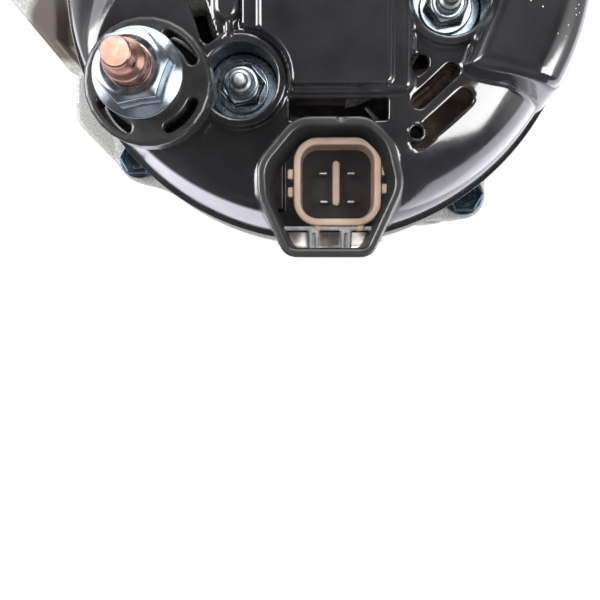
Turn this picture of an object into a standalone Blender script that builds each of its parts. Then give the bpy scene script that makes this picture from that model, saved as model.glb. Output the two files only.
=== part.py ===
"""A compact car alternator, as the separate pieces it comes apart into.

The origin is the centre of the shaft's drive end. +Y runs along the shaft, out of the pulley, and +Z is up.
The dimensions are in millimetres, and MM turns them into metres. Distances along the shaft are measured
forwards from the lip of the rear cover, and LIP puts that lip in the part's frame.
"""

import math

import bmesh
import bpy
from mathutils import Matrix, Vector

MM = 0.001
GAP = 0.3  # between pieces that touch
ROUND = 40  # sides of the large turned pieces
LIP = -150.0  # the rear cover's lip, behind the shaft's drive end

# Rear cover
COVER_RADIUS = 60.0
COVER_FACE = -22.5
COVER_WALL = 2.2
SHROUD_WALL = 1.6
SHOULDER = 12.5
BLOCK_FACE = -26.5
HUMP_FACE = -28.0
SHROUD_CENTRE = (2.25, -48.9)
SHROUD_HALF = (14.95, 14.15)
SHROUD_RIM = -33.0
SOCKET_CENTRE = (3.85, -46.3)
SOCKET_SIDE = 19.6
SOCKET_MOUTH = -13.5
CABLE_TERMINAL = (-34.7, -27.7)
COVER_FIXINGS = [(-17.0, -25.8), (27.2, -8.8), (-10.3, 28.2)]

# Brackets, stator and through bolts
BRACKET_RADIUS = 60.5
BRACKET_BORE = 55.0
CORE_RADIUS = 56.5
CORE_BORE = 45.5
CORE_REAR, CORE_FRONT = 36.0, 74.0
CORE_SLOTS = 36
BOLT_CIRCLE = 60.0
BOLT_ANGLES = [-140, -53, 40, 127]
HINGE_LUG = (-81.0, 22.0)
ADJUST_LUG = (72.0, 21.0)
HUB_FACE = 112.0
RETAINER_ANGLES = [90, 210, 330]
RETAINER_CIRCLE = 27.4

# Rotor
ROTOR_RADIUS = 45.0
CLAWS = 6
SLIP_RING_RADIUS = 7.3
BRUSH_PLACES = [-11.5, -3.5]
REAR_BEARING = {
    "bore": 7.5, "inner": 10.4, "outer": 14.4, "outside": 17.5, "rear": 8.0, "front": 19.0,
}
FRONT_BEARING = {
    "bore": 8.5, "inner": 12.6, "outer": 19.4, "outside": 23.5, "rear": 96.0, "front": 110.0,
}
PULLEY_RADIUS = 28.0
GROOVES = 6
GROOVE_PITCH = 3.56
GROOVE_DEPTH = 3.0
PULLEY_REAR, PULLEY_FRONT = 117.0, 143.0

# Pieces with too many cuts for the EXACT solver
CASTINGS = ("rear_cover", "connector_shroud", "rear_bracket", "front_bracket")

FINISHES = {  # colour, roughness, metallic
    "gloss_black": ((0.018, 0.018, 0.02), 0.18, 0.0),
    "satin_black": ((0.025, 0.025, 0.026), 0.45, 0.0),
    "tan_plastic": ((0.62, 0.42, 0.31), 0.4, 0.0),
    "cast_aluminium": ((0.72, 0.71, 0.68), 0.5, 1.0),
    "zinc": ((0.70, 0.76, 0.83), 0.22, 1.0),
    "copper": ((0.82, 0.45, 0.30), 0.28, 1.0),
    "winding": ((0.55, 0.22, 0.08), 0.35, 0.6),
    "steel": ((0.55, 0.55, 0.56), 0.35, 1.0),
    "lamination": ((0.30, 0.29, 0.28), 0.5, 1.0),
    "carbon": ((0.04, 0.04, 0.045), 0.6, 0.2),
}


def start_scene():
    for obj in list(bpy.data.objects):
        bpy.data.objects.remove(obj)
    for name in ("alternator", "cutters"):
        collection = bpy.data.collections.new(name)
        bpy.context.scene.collection.children.link(collection)


def material(name, finish):
    colour, roughness, metallic = FINISHES[finish]
    made = bpy.data.materials.new(name)
    made.use_nodes = True
    shader = made.node_tree.nodes["Principled BSDF"]
    shader.inputs["Base Color"].default_value = (*colour, 1.0)
    shader.inputs["Roughness"].default_value = roughness
    shader.inputs["Metallic"].default_value = metallic
    return made


def place(obj, finish=None):
    """Put a finished piece in the part's collection, or a helper with no finish among the cutters."""
    if finish:
        bpy.data.collections["alternator"].objects.link(obj)
        obj.data.materials.append(material(obj.name, finish))
    else:
        bpy.data.collections["cutters"].objects.link(obj)
        obj.hide_render = True
        obj.display_type = "WIRE"
    return obj


# Outlines, as lists of (x, z)


def circle(centre, radius, steps=24):
    turns = [2 * math.pi * i / steps for i in range(steps)]
    return [(centre[0] + radius * math.cos(a), centre[1] + radius * math.sin(a)) for a in turns]


def polar(radius, degrees):
    return radius * math.cos(math.radians(degrees)), radius * math.sin(math.radians(degrees))


def arc(radius, start, end, steps):
    return [polar(radius, start + (end - start) * i / steps) for i in range(steps + 1)]


def sector(inner, outer, start, end, steps=6):
    return arc(outer, start, end, steps) + arc(inner, end, start, steps)


def superellipse(centre, half, power=2.65, steps=28):
    outline = []
    for i in range(steps):
        c, s = math.cos(2 * math.pi * i / steps), math.sin(2 * math.pi * i / steps)
        x = math.copysign(abs(c) ** (2 / power), c) * half[0]
        z = math.copysign(abs(s) ** (2 / power), s) * half[1]
        outline.append((centre[0] + x, centre[1] + z))
    return outline


def capsule(start, end, width, steps=4):
    """A slot with round ends, from the centre of one end to that of the other."""
    heading = math.atan2(end[1] - start[1], end[0] - start[0])
    outline = []
    for centre, first in ((end, heading - math.pi / 2), (start, heading + math.pi / 2)):
        for i in range(steps + 1):
            angle = first + math.pi * i / steps
            x, z = width / 2 * math.cos(angle), width / 2 * math.sin(angle)
            outline.append((centre[0] + x, centre[1] + z))
    return outline


def rounded(corners, steps=4):
    """An outline of (x, z, radius) corners, each turned as an arc of its radius."""
    outline = []
    for i, (x, z, radius) in enumerate(corners):
        if radius == 0:
            outline.append((x, z))
            continue
        corner = Vector((x, z))
        before = (Vector(corners[i - 1][:2]) - corner).normalized()
        after = (Vector(corners[(i + 1) % len(corners)][:2]) - corner).normalized()
        half = before.angle(after) / 2
        centre = corner + (before + after).normalized() * radius / math.sin(half)
        first = corner + before * radius / math.tan(half) - centre
        sweep = first.angle_signed(corner + after * radius / math.tan(half) - centre)
        for k in range(steps + 1):
            spoke = Matrix.Rotation(-sweep * k / steps, 2) @ first
            outline.append(tuple(centre + spoke))
    return outline


def rectangle(low, high, radius):
    corners = [(low[0], low[1]), (high[0], low[1]), (high[0], high[1]), (low[0], high[1])]
    return rounded([(*corner, radius) for corner in corners])


def hull(points):
    """The convex outline round a set of points."""
    points = sorted(set(points))
    ends = []
    for run in (points, points[::-1]):
        chain = []
        for point in run:
            while len(chain) > 1 and turn(chain[-2], chain[-1], point) <= 0:
                chain.pop()
            chain.append(point)
        ends += chain[:-1]
    return ends


def turn(a, b, c):
    return (b[0] - a[0]) * (c[1] - a[1]) - (b[1] - a[1]) * (c[0] - a[0])


def area(outline):
    return sum(a[0] * b[1] - b[0] * a[1] for a, b in zip(outline, outline[1:] + outline[:1])) / 2


# Solids


def turned(name, profile, finish=None, at=(0.0, 0.0), steps=48):
    """Turn a profile of (radius, distance along the shaft) round an axis along Y.

    A profile that starts and ends at radius 0 is a solid, and any other is closed into a ring.
    """
    solid = profile[0][0] == 0 and profile[-1][0] == 0
    if area(profile) > 0:
        profile = profile[::-1]
    points = [(radius * MM, 0.0, along * MM) for radius, along in profile]
    edges = [(i, i + 1) for i in range(len(points) - 1)]
    if not solid:
        edges.append((len(points) - 1, 0))
    mesh = bpy.data.meshes.new(name)
    mesh.from_pydata(points, edges, [])
    obj = bpy.data.objects.new(name, mesh)
    obj.location = (at[0] * MM, LIP * MM, at[1] * MM)
    obj.rotation_euler.x = -math.pi / 2
    screw = obj.modifiers.new("turn", "SCREW")
    screw.steps = screw.render_steps = steps
    screw.use_merge_vertices = True
    screw.merge_threshold = 0.00001
    return place(obj, finish)


def plate(name, outlines, rear, front, finish=None):
    """Flat outlines, with any holes inside them, between two distances along the shaft."""
    curve = bpy.data.curves.new(name, "CURVE")
    curve.dimensions = "2D"
    curve.fill_mode = "BOTH"
    curve.extrude = (front - rear) / 2 * MM
    for outline in outlines:
        spline = curve.splines.new("POLY")
        spline.points.add(len(outline) - 1)
        for point, (x, z) in zip(spline.points, outline):
            point.co = (x * MM, z * MM, 0.0, 1.0)
        spline.use_cyclic_u = True
    obj = bpy.data.objects.new(name, curve)
    obj.location.y = (LIP + (front + rear) / 2) * MM
    obj.rotation_euler.x = math.pi / 2
    return place(meshed(obj), finish)


def meshed(obj):
    """The object's curve as a mesh with its caps welded on, because a curve takes no Boolean."""
    bpy.context.scene.collection.objects.link(obj)
    bpy.context.view_layer.update()
    evaluated = obj.evaluated_get(bpy.context.evaluated_depsgraph_get())
    mesh = bpy.data.meshes.new_from_object(evaluated)
    name, matrix = obj.name, obj.matrix_world.copy()
    bpy.data.objects.remove(obj)
    shape = bmesh.new()
    shape.from_mesh(mesh)
    bmesh.ops.remove_doubles(shape, verts=shape.verts, dist=0.000001)
    shape.to_mesh(mesh)
    shape.free()
    made = bpy.data.objects.new(name, mesh)
    made.matrix_world = matrix
    return made


def block(name, low, high, finish=None, about=None, degrees=0.0):
    """A box between two corners of (x, distance along the shaft, z), turned about a line along Y."""
    mesh = bpy.data.meshes.new(name)
    shape = bmesh.new()
    bmesh.ops.create_cube(shape, size=1.0)
    size = [(b - a) * MM for a, b in zip(low, high)]
    middle = [(a + b) / 2 * MM for a, b in zip(low, high)]
    bmesh.ops.scale(shape, vec=size, verts=shape.verts)
    bmesh.ops.translate(shape, vec=middle, verts=shape.verts)
    turned_by = Matrix.Rotation(math.radians(-degrees), 3, "Y")
    centre = Vector((about[0] * MM, 0.0, about[1] * MM)) if about else Vector()
    bmesh.ops.rotate(shape, cent=centre, matrix=turned_by, verts=shape.verts)
    shape.to_mesh(mesh)
    shape.free()
    obj = bpy.data.objects.new(name, mesh)
    obj.location.y = LIP * MM
    return place(obj, finish)


def rod(name, radius, rear, front, finish=None, at=(0.0, 0.0), steps=14):
    return turned(name, [(0, rear), (radius, rear), (radius, front), (0, front)], finish, at, steps)


def combine(obj, operation, helpers):
    for helper in helpers:
        change = obj.modifiers.new(f"{operation.lower()} {helper.name}", "BOOLEAN")
        change.operation = operation
        if obj.name in CASTINGS:
            change.solver = "MANIFOLD"
        change.object = helper
    return obj


def join(obj, *helpers):
    return combine(obj, "UNION", helpers)


def cut(obj, *helpers):
    return combine(obj, "DIFFERENCE", helpers)


def trim(obj, *helpers):
    return combine(obj, "INTERSECT", helpers)


def soften(obj, width, segments=2, angle=40):
    bevel = obj.modifiers.new("round", "BEVEL")
    bevel.width = width * MM
    bevel.segments = segments
    bevel.limit_method = "ANGLE"
    bevel.angle_limit = math.radians(angle)
    return obj


# Rear cover and what it carries


def shoulder_arc(radius, face, shoulder, steps=4):
    """The rounded edge between the cover's flat face and its side wall."""
    centre = (radius - shoulder, face + shoulder)
    turns = [math.pi / 2 * i / steps for i in range(steps + 1)]
    return [(centre[0] + shoulder * math.sin(a), centre[1] - shoulder * math.cos(a)) for a in turns]


def rear_cover():
    side = COVER_RADIUS - 2.4
    outside = [(0, COVER_FACE)] + shoulder_arc(side, COVER_FACE, SHOULDER)
    outside += [(COVER_RADIUS - 1.2, -2.2), (COVER_RADIUS, -1.8), (COVER_RADIUS, 0), (0, 0)]
    cover = turned("rear_cover", outside, "gloss_black", steps=ROUND)
    raised = plate("cover_block", [rectangle((-12.8, -27.1), (15.0, 18.0), 2.5)], BLOCK_FACE, -18)
    hump = plate("cover_hump", [hump_outline(0)], HUMP_FACE, -11)
    turret = rod("cover_turret", 11.0, -25.2, -12, at=CABLE_TERMINAL, steps=20)
    join(cover, soften(raised, 1.5), soften(hump, 3.0), turret)

    hollow = [(0, COVER_FACE + COVER_WALL)]
    hollow += shoulder_arc(side - COVER_WALL, COVER_FACE + COVER_WALL, SHOULDER - COVER_WALL)
    hollow += [(COVER_RADIUS - 2.0, 1), (0, 1)]
    block_inside = rectangle((-10.6, -24.9), (12.8, 15.8), 1.0)
    under_block = plate("under_block", [block_inside], BLOCK_FACE + COVER_WALL, -17)
    under_hump = plate("under_hump", [hump_outline(COVER_WALL)], HUMP_FACE + COVER_WALL, -9)
    cut(cover, turned("cover_hollow", hollow, steps=ROUND), under_block, under_hump)
    cup = [(9.8, -24), (9.8, -10), (3.0, -10), (3.0, -12.6), (7.8, -12.6), (7.8, -24)]
    for number, at in enumerate(COVER_FIXINGS, 1):
        cut(cover, rod(f"cover_recess_{number}", 8.8, -32, -14, at=at, steps=20))
        join(cover, turned(f"cover_cup_{number}", cup, at=at, steps=20))
    clearance = [half + GAP for half in SHROUD_HALF]
    cut(cover, plate("shroud_hole", [superellipse(SHROUD_CENTRE, clearance)], SHROUD_RIM - 1, 1))
    cut(cover, rod("terminal_hole", 6.0, -27, -9, at=CABLE_TERMINAL))
    cut(cover, plate("cover_window", [rectangle((-6.6, -34.0), (14.3, -29.4), 0.4)], -24, -18))
    for number, (start, end, width) in enumerate(cooling_slots(), 1):
        cut(cover, plate(f"cover_slot_{number}", [capsule(start, end, width)], -32, -8))
    cut(cover, rod("cover_sight_hole", 2.1, -24, -18, at=(21.0, -22.3), steps=16))


def connector_shroud():
    """The sleeve round the wiring socket.

    It is moulded with the cover, and a node of its own so that its collision shape stays open for the plug.
    """
    outside = superellipse(SHROUD_CENTRE, SHROUD_HALF)
    inside = superellipse(SHROUD_CENTRE, [half - SHROUD_WALL for half in SHROUD_HALF])
    sleeve = plate("connector_shroud", [outside, inside], SHROUD_RIM, -0.5, "gloss_black")
    clear = SOCKET_SIDE / 2 + GAP
    low, high = [[middle + way * clear for middle in SOCKET_CENTRE] for way in (-1, 1)]
    cut(sleeve, plate("socket_clearance", [rectangle(low, high, 5.4)], SOCKET_MOUTH - 1, 1))
    for number, x in enumerate((-1.2, 5.4), 1):
        join(sleeve, block(f"shroud_rib_{number}", (x, -12.6, -62.2), (x + 1.5, -10.4, -57.6)))
    join(sleeve, block("shroud_bar", (-10.6, -13, -58.2), (15.1, -10, -57.2)))


def hump_outline(inset):
    edge = COVER_RADIUS - 2.7 - inset
    rim = [(x, z, 0) for x, z in arc(edge, -25, 25, 8)]
    low, high = (*polar(edge, -32 + inset * 1.2), 2.5), (*polar(edge, 32 - inset * 1.2), 2.5)
    return rounded([(32 + inset, -21.5 + inset, 3), low, *rim, high, (32 + inset, 21.5 - inset, 3)])


def cooling_slots():
    """Start, end and width of each slot through the cover."""
    slots = [
        ((27.6, -24.0), (21.1, -30.2), 3.5),
        ((30.5, -29.4), (20.7, -37.7), 3.9),
        ((-23.7, -16.1), (-28.5, -2.0), 3.5),
    ]
    for degrees in (62, 76, 118, 132, 146, 160):
        slots.append((polar(33, degrees), polar(46, degrees), 3.6))
    return slots


def battery_terminal():
    ring = [(5.0, -33), (12.95, -33), (12.95, -25.5), (5.0, -25.5)]
    guard = turned("battery_guard", ring, "satin_black", CABLE_TERMINAL, 32)
    for degrees in (45, 135, 225, 315):
        outline = [
            (x + CABLE_TERMINAL[0], z + CABLE_TERMINAL[1])
            for x, z in sector(8.8, 10.6, degrees - 26, degrees + 26, 4)
        ]
        cut(guard, plate(f"guard_slot_{degrees}", [outline], -34, -24))
    stud = [(0, -60), (2.0, -60), (2.85, -59.2), (2.85, -55.5), (3.97, -54.3), (3.97, -9), (0, -9)]
    turned("battery_stud", stud, "copper", CABLE_TERMINAL, 24)
    collar = [(4.3, -41), (7.5, -41), (7.5, -33.3), (4.3, -33.3)]
    turned("battery_collar", collar, "steel", CABLE_TERMINAL, 24)
    flange_nut("battery_nut", CABLE_TERMINAL, -41.3, 8.9, 13, 8, 4.3)


def flange_nut(name, at, seat, flange, across_flats, height, bore):
    """A hexagon nut with a flange, standing rearwards from its seat."""
    rise = [(0, seat), (flange, seat), (flange, seat - 0.9), (bore, seat - 2.4), (0, seat - 2.4)]
    nut = turned(name, rise, "zinc", at, 16)
    top, flat = seat - height, across_flats / 2
    body = plate(f"{name}_hexagon", [circle(at, across_flats / math.sqrt(3), 6)], top, seat - 0.5)
    cone = [(0, top - 0.5), (flat - 0.7, top - 0.5), (flat + 2, seat - 1), (0, seat - 1)]
    join(nut, trim(body, turned(f"{name}_cone", cone, at=at, steps=20)))
    cut(nut, rod(f"{name}_bore", bore, top - 1, seat + 1, at=at, steps=12))


def cover_fixings():
    for number, at in enumerate(COVER_FIXINGS, 1):
        stud = [(0, -25), (1.9, -25), (2.5, -24.3), (2.5, -2), (0, -2)]
        washer = [(3.0, -12.9), (6.9, -12.9), (6.9, -14.1), (3.0, -14.1)]
        turned(f"cover_stud_{number}", stud, "zinc", at, 12)
        turned(f"cover_washer_{number}", washer, "zinc", at, 20)
        flange_nut(f"cover_nut_{number}", at, -14.4, 5.3, 8, 5.2, 2.8)


def connector():
    x, z = SOCKET_CENTRE
    half = SOCKET_SIDE / 2
    outside = rectangle((x - half, z - half), (x + half, z + half), 5.4)
    body = plate("connector_housing", [outside], SOCKET_MOUTH, 0, "tan_plastic")
    lugs = [((x - half - 1.4, z + 0.6), 3.0, 2.2), ((x - half - 1.4, z - 3.4), 3.0, 2.2)]
    lugs += [((x + half - 1.6, z + 1.4), 2.4, 2.2), ((x + half - 1.6, z - 2.6), 2.4, 2.2)]
    lugs += [((x - 5.2, z - half - 1.1), 1.6, 3.0), ((x + 4.4, z - half - 1.1), 1.6, 3.0)]
    for number, ((left, low), wide, tall) in enumerate(lugs, 1):
        corners = (left, SOCKET_MOUTH + 0.8, low), (left + wide, -1, low + tall)
        join(body, block(f"socket_lug_{number}", *corners))
    inner = half - 1.6
    cavity = rectangle((x - inner, z - inner), (x + inner, z + inner), 3.8)
    cut(body, plate("socket_cavity", [cavity], SOCKET_MOUTH - 1, -2.5))
    join(body, plate("socket_rib", [capsule((x - 0.2, z - 4.3), (x - 0.2, z + 4.3), 1.7)], -8, -1.5))
    for number, (across, up) in enumerate(((-3.2, 2.1), (3.2, 2.1), (-3.0, -4.3), (3.2, -4.3)), 1):
        left, low = x + across - 0.95, z + up - 0.35
        right, high = x + across + 0.95, z + up + 0.35
        hole = (left - GAP, -4, low - GAP), (right + GAP, 1, high + GAP)
        cut(body, block(f"pin_hole_{number}", *hole))
        block(f"connector_pin_{number}", (left, -9.5, low), (right, 1.2, high), "zinc")


def regulator():
    corners = [(19.6, -20.5, 1.5), (39, -20.5, 2), (40, -33, 3), (33, -42, 3), (19.6, -43, 1.5)]
    outline = rounded(corners)
    plate("regulator", [outline], -9, -3.3, "satin_black")
    sink = plate("regulator_heatsink", [outline], -3, -0.5, "cast_aluminium")
    for number in range(5):
        x = 21.5 + 3.6 * number
        join(sink, block(f"heatsink_fin_{number}", (x, -1, -40), (x + 1.2, 1.7, -22)))


def brush_gear():
    holder = block("brush_holder", (-5.5, -16.4, -30), (5.5, 1.4, -9), "satin_black")
    for number, along in enumerate(BRUSH_PLACES, 1):
        cut(holder, block(f"brush_pocket_{number}", (-2.8, along - 2.55, -28), (2.8, along + 2.55, -8)))
        top = -SLIP_RING_RADIUS - GAP
        brush = block(f"brush_{number}", (-2.5, along - 2.25, -19.6), (2.5, along + 2.25, top), "carbon")
        soften(brush, 0.3, 1)
        brush_spring(f"brush_spring_{number}", along, -27.7, -19.9)


def brush_spring(name, along, low, high, turns=5, radius=1.5, wire=0.3, steps=6):
    """A coil spring that stands under a brush."""
    curve = bpy.data.curves.new(name, "CURVE")
    curve.dimensions = "3D"
    curve.bevel_depth = wire * MM
    curve.bevel_resolution = 0
    curve.use_fill_caps = True
    spline = curve.splines.new("POLY")
    count = turns * steps
    spline.points.add(count)
    for i, point in enumerate(spline.points):
        angle = 2 * math.pi * i / steps
        x, y = radius * math.cos(angle), LIP + along + radius * math.sin(angle)
        height = low + wire + (high - low - 2 * wire) * i / count
        point.co = (x * MM, y * MM, height * MM, 1.0)
    place(meshed(bpy.data.objects.new(name, curve)), "steel")


def rectifier():
    """Two heat sink plates with their pressed-in diodes, and the moulded terminals between them."""
    for name, rear, front, out, degrees in (
        ("rectifier_plate_negative", -0.8, 1.7, -3.6, (52, 84, 116, 148)),
        ("rectifier_plate_positive", -8.2, -5.4, -11.6, (68, 100, 132, 180)),
    ):
        sink = plate(name, [sector(38, 52, 35, 238, 16)], rear, front, "cast_aluminium")
        for number, angle in enumerate(degrees, 1):
            join(sink, rod(f"{name}_diode_{number}", 4.6, out, rear + 0.5, at=polar(45, angle), steps=10))
        if name.endswith("positive"):
            cut(sink, rod("terminal_clearance", 4.3, -12, 0, at=CABLE_TERMINAL))
    plate("rectifier_terminals", [sector(39, 51, 165, 212, 5)], -5.1, -1.1, "satin_black")


# Brackets and stator


def lug_outline(lug, radius, roots):
    return hull(circle(lug, radius, 20) + roots)


def bracket_lugs(bracket, rear, front, prefix):
    """The two mounting lugs of a bracket, each faired into its wall."""
    hinge = lug_outline(HINGE_LUG, 12, [(-66.2, -14.6), (-50, -24), (-44, 36)])
    adjust = lug_outline(ADJUST_LUG, 10.5, [(55, -8), (40, 40)])
    left = plate(f"{prefix}_hinge_lug", [hinge], rear, front)
    right = plate(f"{prefix}_adjust_lug", [adjust], rear + 2, front)
    ears = [
        rod(f"{prefix}_ear_{number}", 7.8, *ear_span(prefix), at=polar(BOLT_CIRCLE, angle))
        for number, angle in enumerate(BOLT_ANGLES, 1)
    ]
    join(bracket, left, right, *ears)


def ear_span(prefix):
    return (15, 40) if prefix == "rear" else (70, 100)


def bracket_vents(bracket, prefix, rear, front):
    """Windows through the side wall, between the ears and the lugs."""
    blocked = [*BOLT_ANGLES, 158, 176, 194, -6, 12]
    for degrees in range(-180, 180, 20):
        if min(abs((degrees - angle + 180) % 360 - 180) for angle in blocked) < 13:
            continue
        name = f"{prefix}_vent_{degrees + 180}"
        cut(bracket, block(name, (50, rear, -4.5), (66, front, 4.5), degrees=degrees))


def rear_bracket():
    outside = [(0, 2), (54.5, 2), (54.5, 15), (BRACKET_RADIUS, 15), (BRACKET_RADIUS, 40), (0, 40)]
    bracket = turned("rear_bracket", outside, "cast_aluminium", steps=ROUND)
    bracket_lugs(bracket, 22, 36, "rear")
    corner = [(-BRACKET_BORE, -8), (-62.3, -19.1), (-62.3, -28.7), (-49.4, -42.5), (-44, -46.0)]
    corner += [(-38, -40), (-46, -20)]
    join(bracket, plate("rear_corner", [hull(corner)], 15, 25))
    register = CORE_REAR - GAP
    seat, step = REAR_BEARING["outside"] + GAP, REAR_BEARING["rear"] - GAP
    hollow = [(0, 1), (12, 1), (12, step), (seat, step), (seat, 20), (22, 20), (22, 6.5), (49, 6.5)]
    hollow += [(51.5, 9), (51.5, 16.5), (BRACKET_BORE, 19), (BRACKET_BORE, register)]
    hollow += [(CORE_RADIUS + GAP, register), (CORE_RADIUS + GAP, 41), (0, 41)]
    cut(bracket, turned("rear_hollow", hollow, steps=ROUND))
    for number, at in enumerate(COVER_FIXINGS, 1):
        join(bracket, rod(f"rear_post_{number}", 5.5, -9.7, 5, at=at, steps=14))
    join(bracket, block("rear_pad", (-11, 2, -62), (15.5, 16, -54)))
    end_vents = [(-170, -150), (-85, -50), (-40, -28), (5, 35), (55, 85), (125, 155)]
    for number, (start, end) in enumerate(end_vents, 1):
        cut(bracket, plate(f"rear_end_vent_{number}", [sector(28, 48, start, end, 3)], 1, 8))
    bracket_vents(bracket, "rear", 19, 33)
    for number, at in enumerate(COVER_FIXINGS, 1):
        cut(bracket, rod(f"rear_stud_hole_{number}", 2.8, -11, -1.7, at=at, steps=10))
    for number, angle in enumerate(BOLT_ANGLES, 1):
        cut(bracket, rod(f"rear_bolt_hole_{number}", 2.8, 14, 41, at=polar(BOLT_CIRCLE, angle), steps=10))
    cut(bracket, rod("rear_hinge_hole", 8.0, 20, 38, at=HINGE_LUG))
    cut(bracket, rod("rear_adjust_hole", 4.3, 20, 38, at=ADJUST_LUG))
    turned("lug_bush", [(5.2, 20), (7.7, 20), (7.7, 37), (5.2, 37)], "steel", HINGE_LUG, 20)


def front_bracket():
    outside = [(0, HUB_FACE), (30, HUB_FACE), (32, 110), (50, 108), (58, 102), (BRACKET_RADIUS, 96)]
    outside += [(BRACKET_RADIUS, 70), (0, 70)]
    bracket = turned("front_bracket", outside, "cast_aluminium", steps=ROUND)
    bracket_lugs(bracket, 86, 100, "front")
    register = CORE_FRONT + GAP
    spigot = CORE_RADIUS + GAP
    hollow = [(0, 69), (spigot, 69), (spigot, register), (BRACKET_BORE, register)]
    seat, step = FRONT_BEARING["outside"] + GAP, FRONT_BEARING["front"] + GAP
    hollow += [(BRACKET_BORE, 96), (50, 103), (31, 104.5), (31, 94.9), (seat, 94.9), (seat, step)]
    hollow += [(14, step)]
    hollow += [(14, HUB_FACE + 1), (0, HUB_FACE + 1)]
    cut(bracket, turned("front_hollow", hollow, steps=ROUND))
    for number in range(8):
        start = 45 * number + 6
        cut(bracket, plate(f"front_end_vent_{number}", [sector(34, 52, start, start + 33, 3)], 101, 114))
    bracket_vents(bracket, "front", 78, 92)
    for number, angle in enumerate(BOLT_ANGLES, 1):
        hole = rod(f"front_bolt_hole_{number}", 2.8, 69, 97, at=polar(BOLT_CIRCLE, angle), steps=10)
        cut(bracket, hole)
    for number, angle in enumerate(RETAINER_ANGLES, 1):
        at = polar(RETAINER_CIRCLE, angle)
        cut(bracket, rod(f"front_screw_hole_{number}", 2.0, 94, 103, at=at, steps=8))
    cut(bracket, rod("front_hinge_hole", 5.2, 84, 102, at=HINGE_LUG))
    cut(bracket, rod("front_adjust_hole", 4.3, 84, 102, at=ADJUST_LUG))


def bearing_retainer():
    screws = [polar(RETAINER_CIRCLE, angle) for angle in RETAINER_ANGLES]
    rim = [circle((0, 0), 30.5, 32), circle((0, 0), 14.5, 24)]
    plate("bearing_retainer", rim + [circle(at, 2.1, 10) for at in screws], 92.6, 94.6, "steel")
    for number, at in enumerate(screws, 1):
        head = [(0, 90.6), (2.8, 90.6), (3.4, 91.2), (3.4, 92.3), (1.7, 92.3), (1.7, 101), (0, 101)]
        turned(f"retainer_screw_{number}", head, "zinc", at, 10)


def through_bolts():
    for number, angle in enumerate(BOLT_ANGLES, 1):
        at = polar(BOLT_CIRCLE, angle)
        shank = [(0, 12.6), (5.0, 12.6), (5.0, 14.7), (2.5, 14.7), (2.5, 95), (0, 95)]
        bolt = turned(f"through_bolt_{number}", shank, "zinc", at, 14)
        join(bolt, plate(f"bolt_head_{number}", [circle(at, 4.6, 6)], 9.2, 13.5))


def stator():
    pitch = 360 / CORE_SLOTS
    bore, outline = [], circle((0, 0), CORE_RADIUS, 72)
    slot = [(-0.28, CORE_BORE), (-0.28, 52.5), (0.28, 52.5), (0.28, CORE_BORE)]
    for i in range(CORE_SLOTS):
        bore += [polar(radius, pitch * (i + share)) for share, radius in slot]
    plate("stator_core", [outline, bore], CORE_REAR, CORE_FRONT, "lamination")
    section = [(46.4, -2.2), (52.1, -2.1), (52.1, 2.1), (46.4, 2.2)]
    bars = [[polar(radius, pitch * i + side) for radius, side in section] for i in range(CORE_SLOTS)]
    wire = plate("winding_bars", bars, CORE_REAR - 2, CORE_FRONT + 2)
    winding = turned("stator_winding", winding_ring(22, CORE_REAR - GAP), "winding", steps=36)
    front_ring = turned("winding_front", winding_ring(88, CORE_FRONT + GAP), steps=36)
    join(winding, wire, front_ring)


def winding_ring(end, core_side):
    """The section of the overhang at one end of the winding, which narrows away from the core."""
    waist = (end + core_side) / 2
    return [(46.2, core_side), (53.6, core_side), (53.6, waist), (51.5, end), (47.5, end)]


# Rotor


def shaft():
    profile = [(0, -16), (4.5, -16), (5.0, -15.5), (5.0, 6), (7.2, 6), (7.2, 22), (9.0, 22)]
    profile += [(9.0, 92), (8.2, 92), (8.2, 149), (7.2, 150), (0, 150)]
    turned("shaft", profile, "steel", steps=24)
    for number, along in enumerate(BRUSH_PLACES, 1):
        rear, front = along - 2.6, along + 2.6
        ring = [(5.3, rear), (SLIP_RING_RADIUS, rear), (SLIP_RING_RADIUS, front), (5.3, front)]
        turned(f"slip_ring_{number}", ring, "copper", steps=24)


def claw_pole(name, disc, inside, tip, first):
    """One half of the rotor core: a disc and hub with claws that reach over the field coil.

    disc is its outer face, inside the coil's side of it and tip the claws' ends.
    """
    middle = (CORE_REAR + CORE_FRONT) / 2
    centre = middle - math.copysign(GAP / 2, middle - disc)
    profile = [(9.3, disc), (ROTOR_RADIUS, disc), (ROTOR_RADIUS, tip), (42, tip), (36, inside)]
    profile += [(20, inside), (20, centre), (9.3, centre)]
    pole = turned(name, profile, "steel", steps=36)
    for i in range(CLAWS):
        gap = claw_gap(f"{name}_gap_{i}", disc, tip, first + 360 / CLAWS * (i + 0.5))
        cut(pole, gap)


def claw_gap(name, disc, tip, degrees):
    """The wedge of air between two claws, wide at their tips."""
    beyond = math.copysign(2, tip - disc)
    outline = [(-9.0, disc - beyond), (-9.0, disc), (-17.5, tip + beyond)]
    outline += [(-across, along) for across, along in outline[::-1]]
    mesh = bpy.data.meshes.new(name)
    shape = bmesh.new()
    corners = [shape.verts.new((27 * MM, along * MM, across * MM)) for across, along in outline]
    face = shape.faces.new(corners)
    bmesh.ops.recalc_face_normals(shape, faces=[face])
    made = bmesh.ops.extrude_face_region(shape, geom=[face])
    moved = [vert for vert in made["geom"] if isinstance(vert, bmesh.types.BMVert)]
    bmesh.ops.translate(shape, vec=(25 * MM, 0, 0), verts=moved)
    bmesh.ops.recalc_face_normals(shape, faces=shape.faces)
    turned_by = Matrix.Rotation(math.radians(-degrees), 3, "Y")
    bmesh.ops.rotate(shape, cent=(0, 0, 0), matrix=turned_by, verts=shape.verts)
    shape.to_mesh(mesh)
    shape.free()
    obj = bpy.data.objects.new(name, mesh)
    obj.location.y = LIP * MM
    return place(obj)


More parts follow.
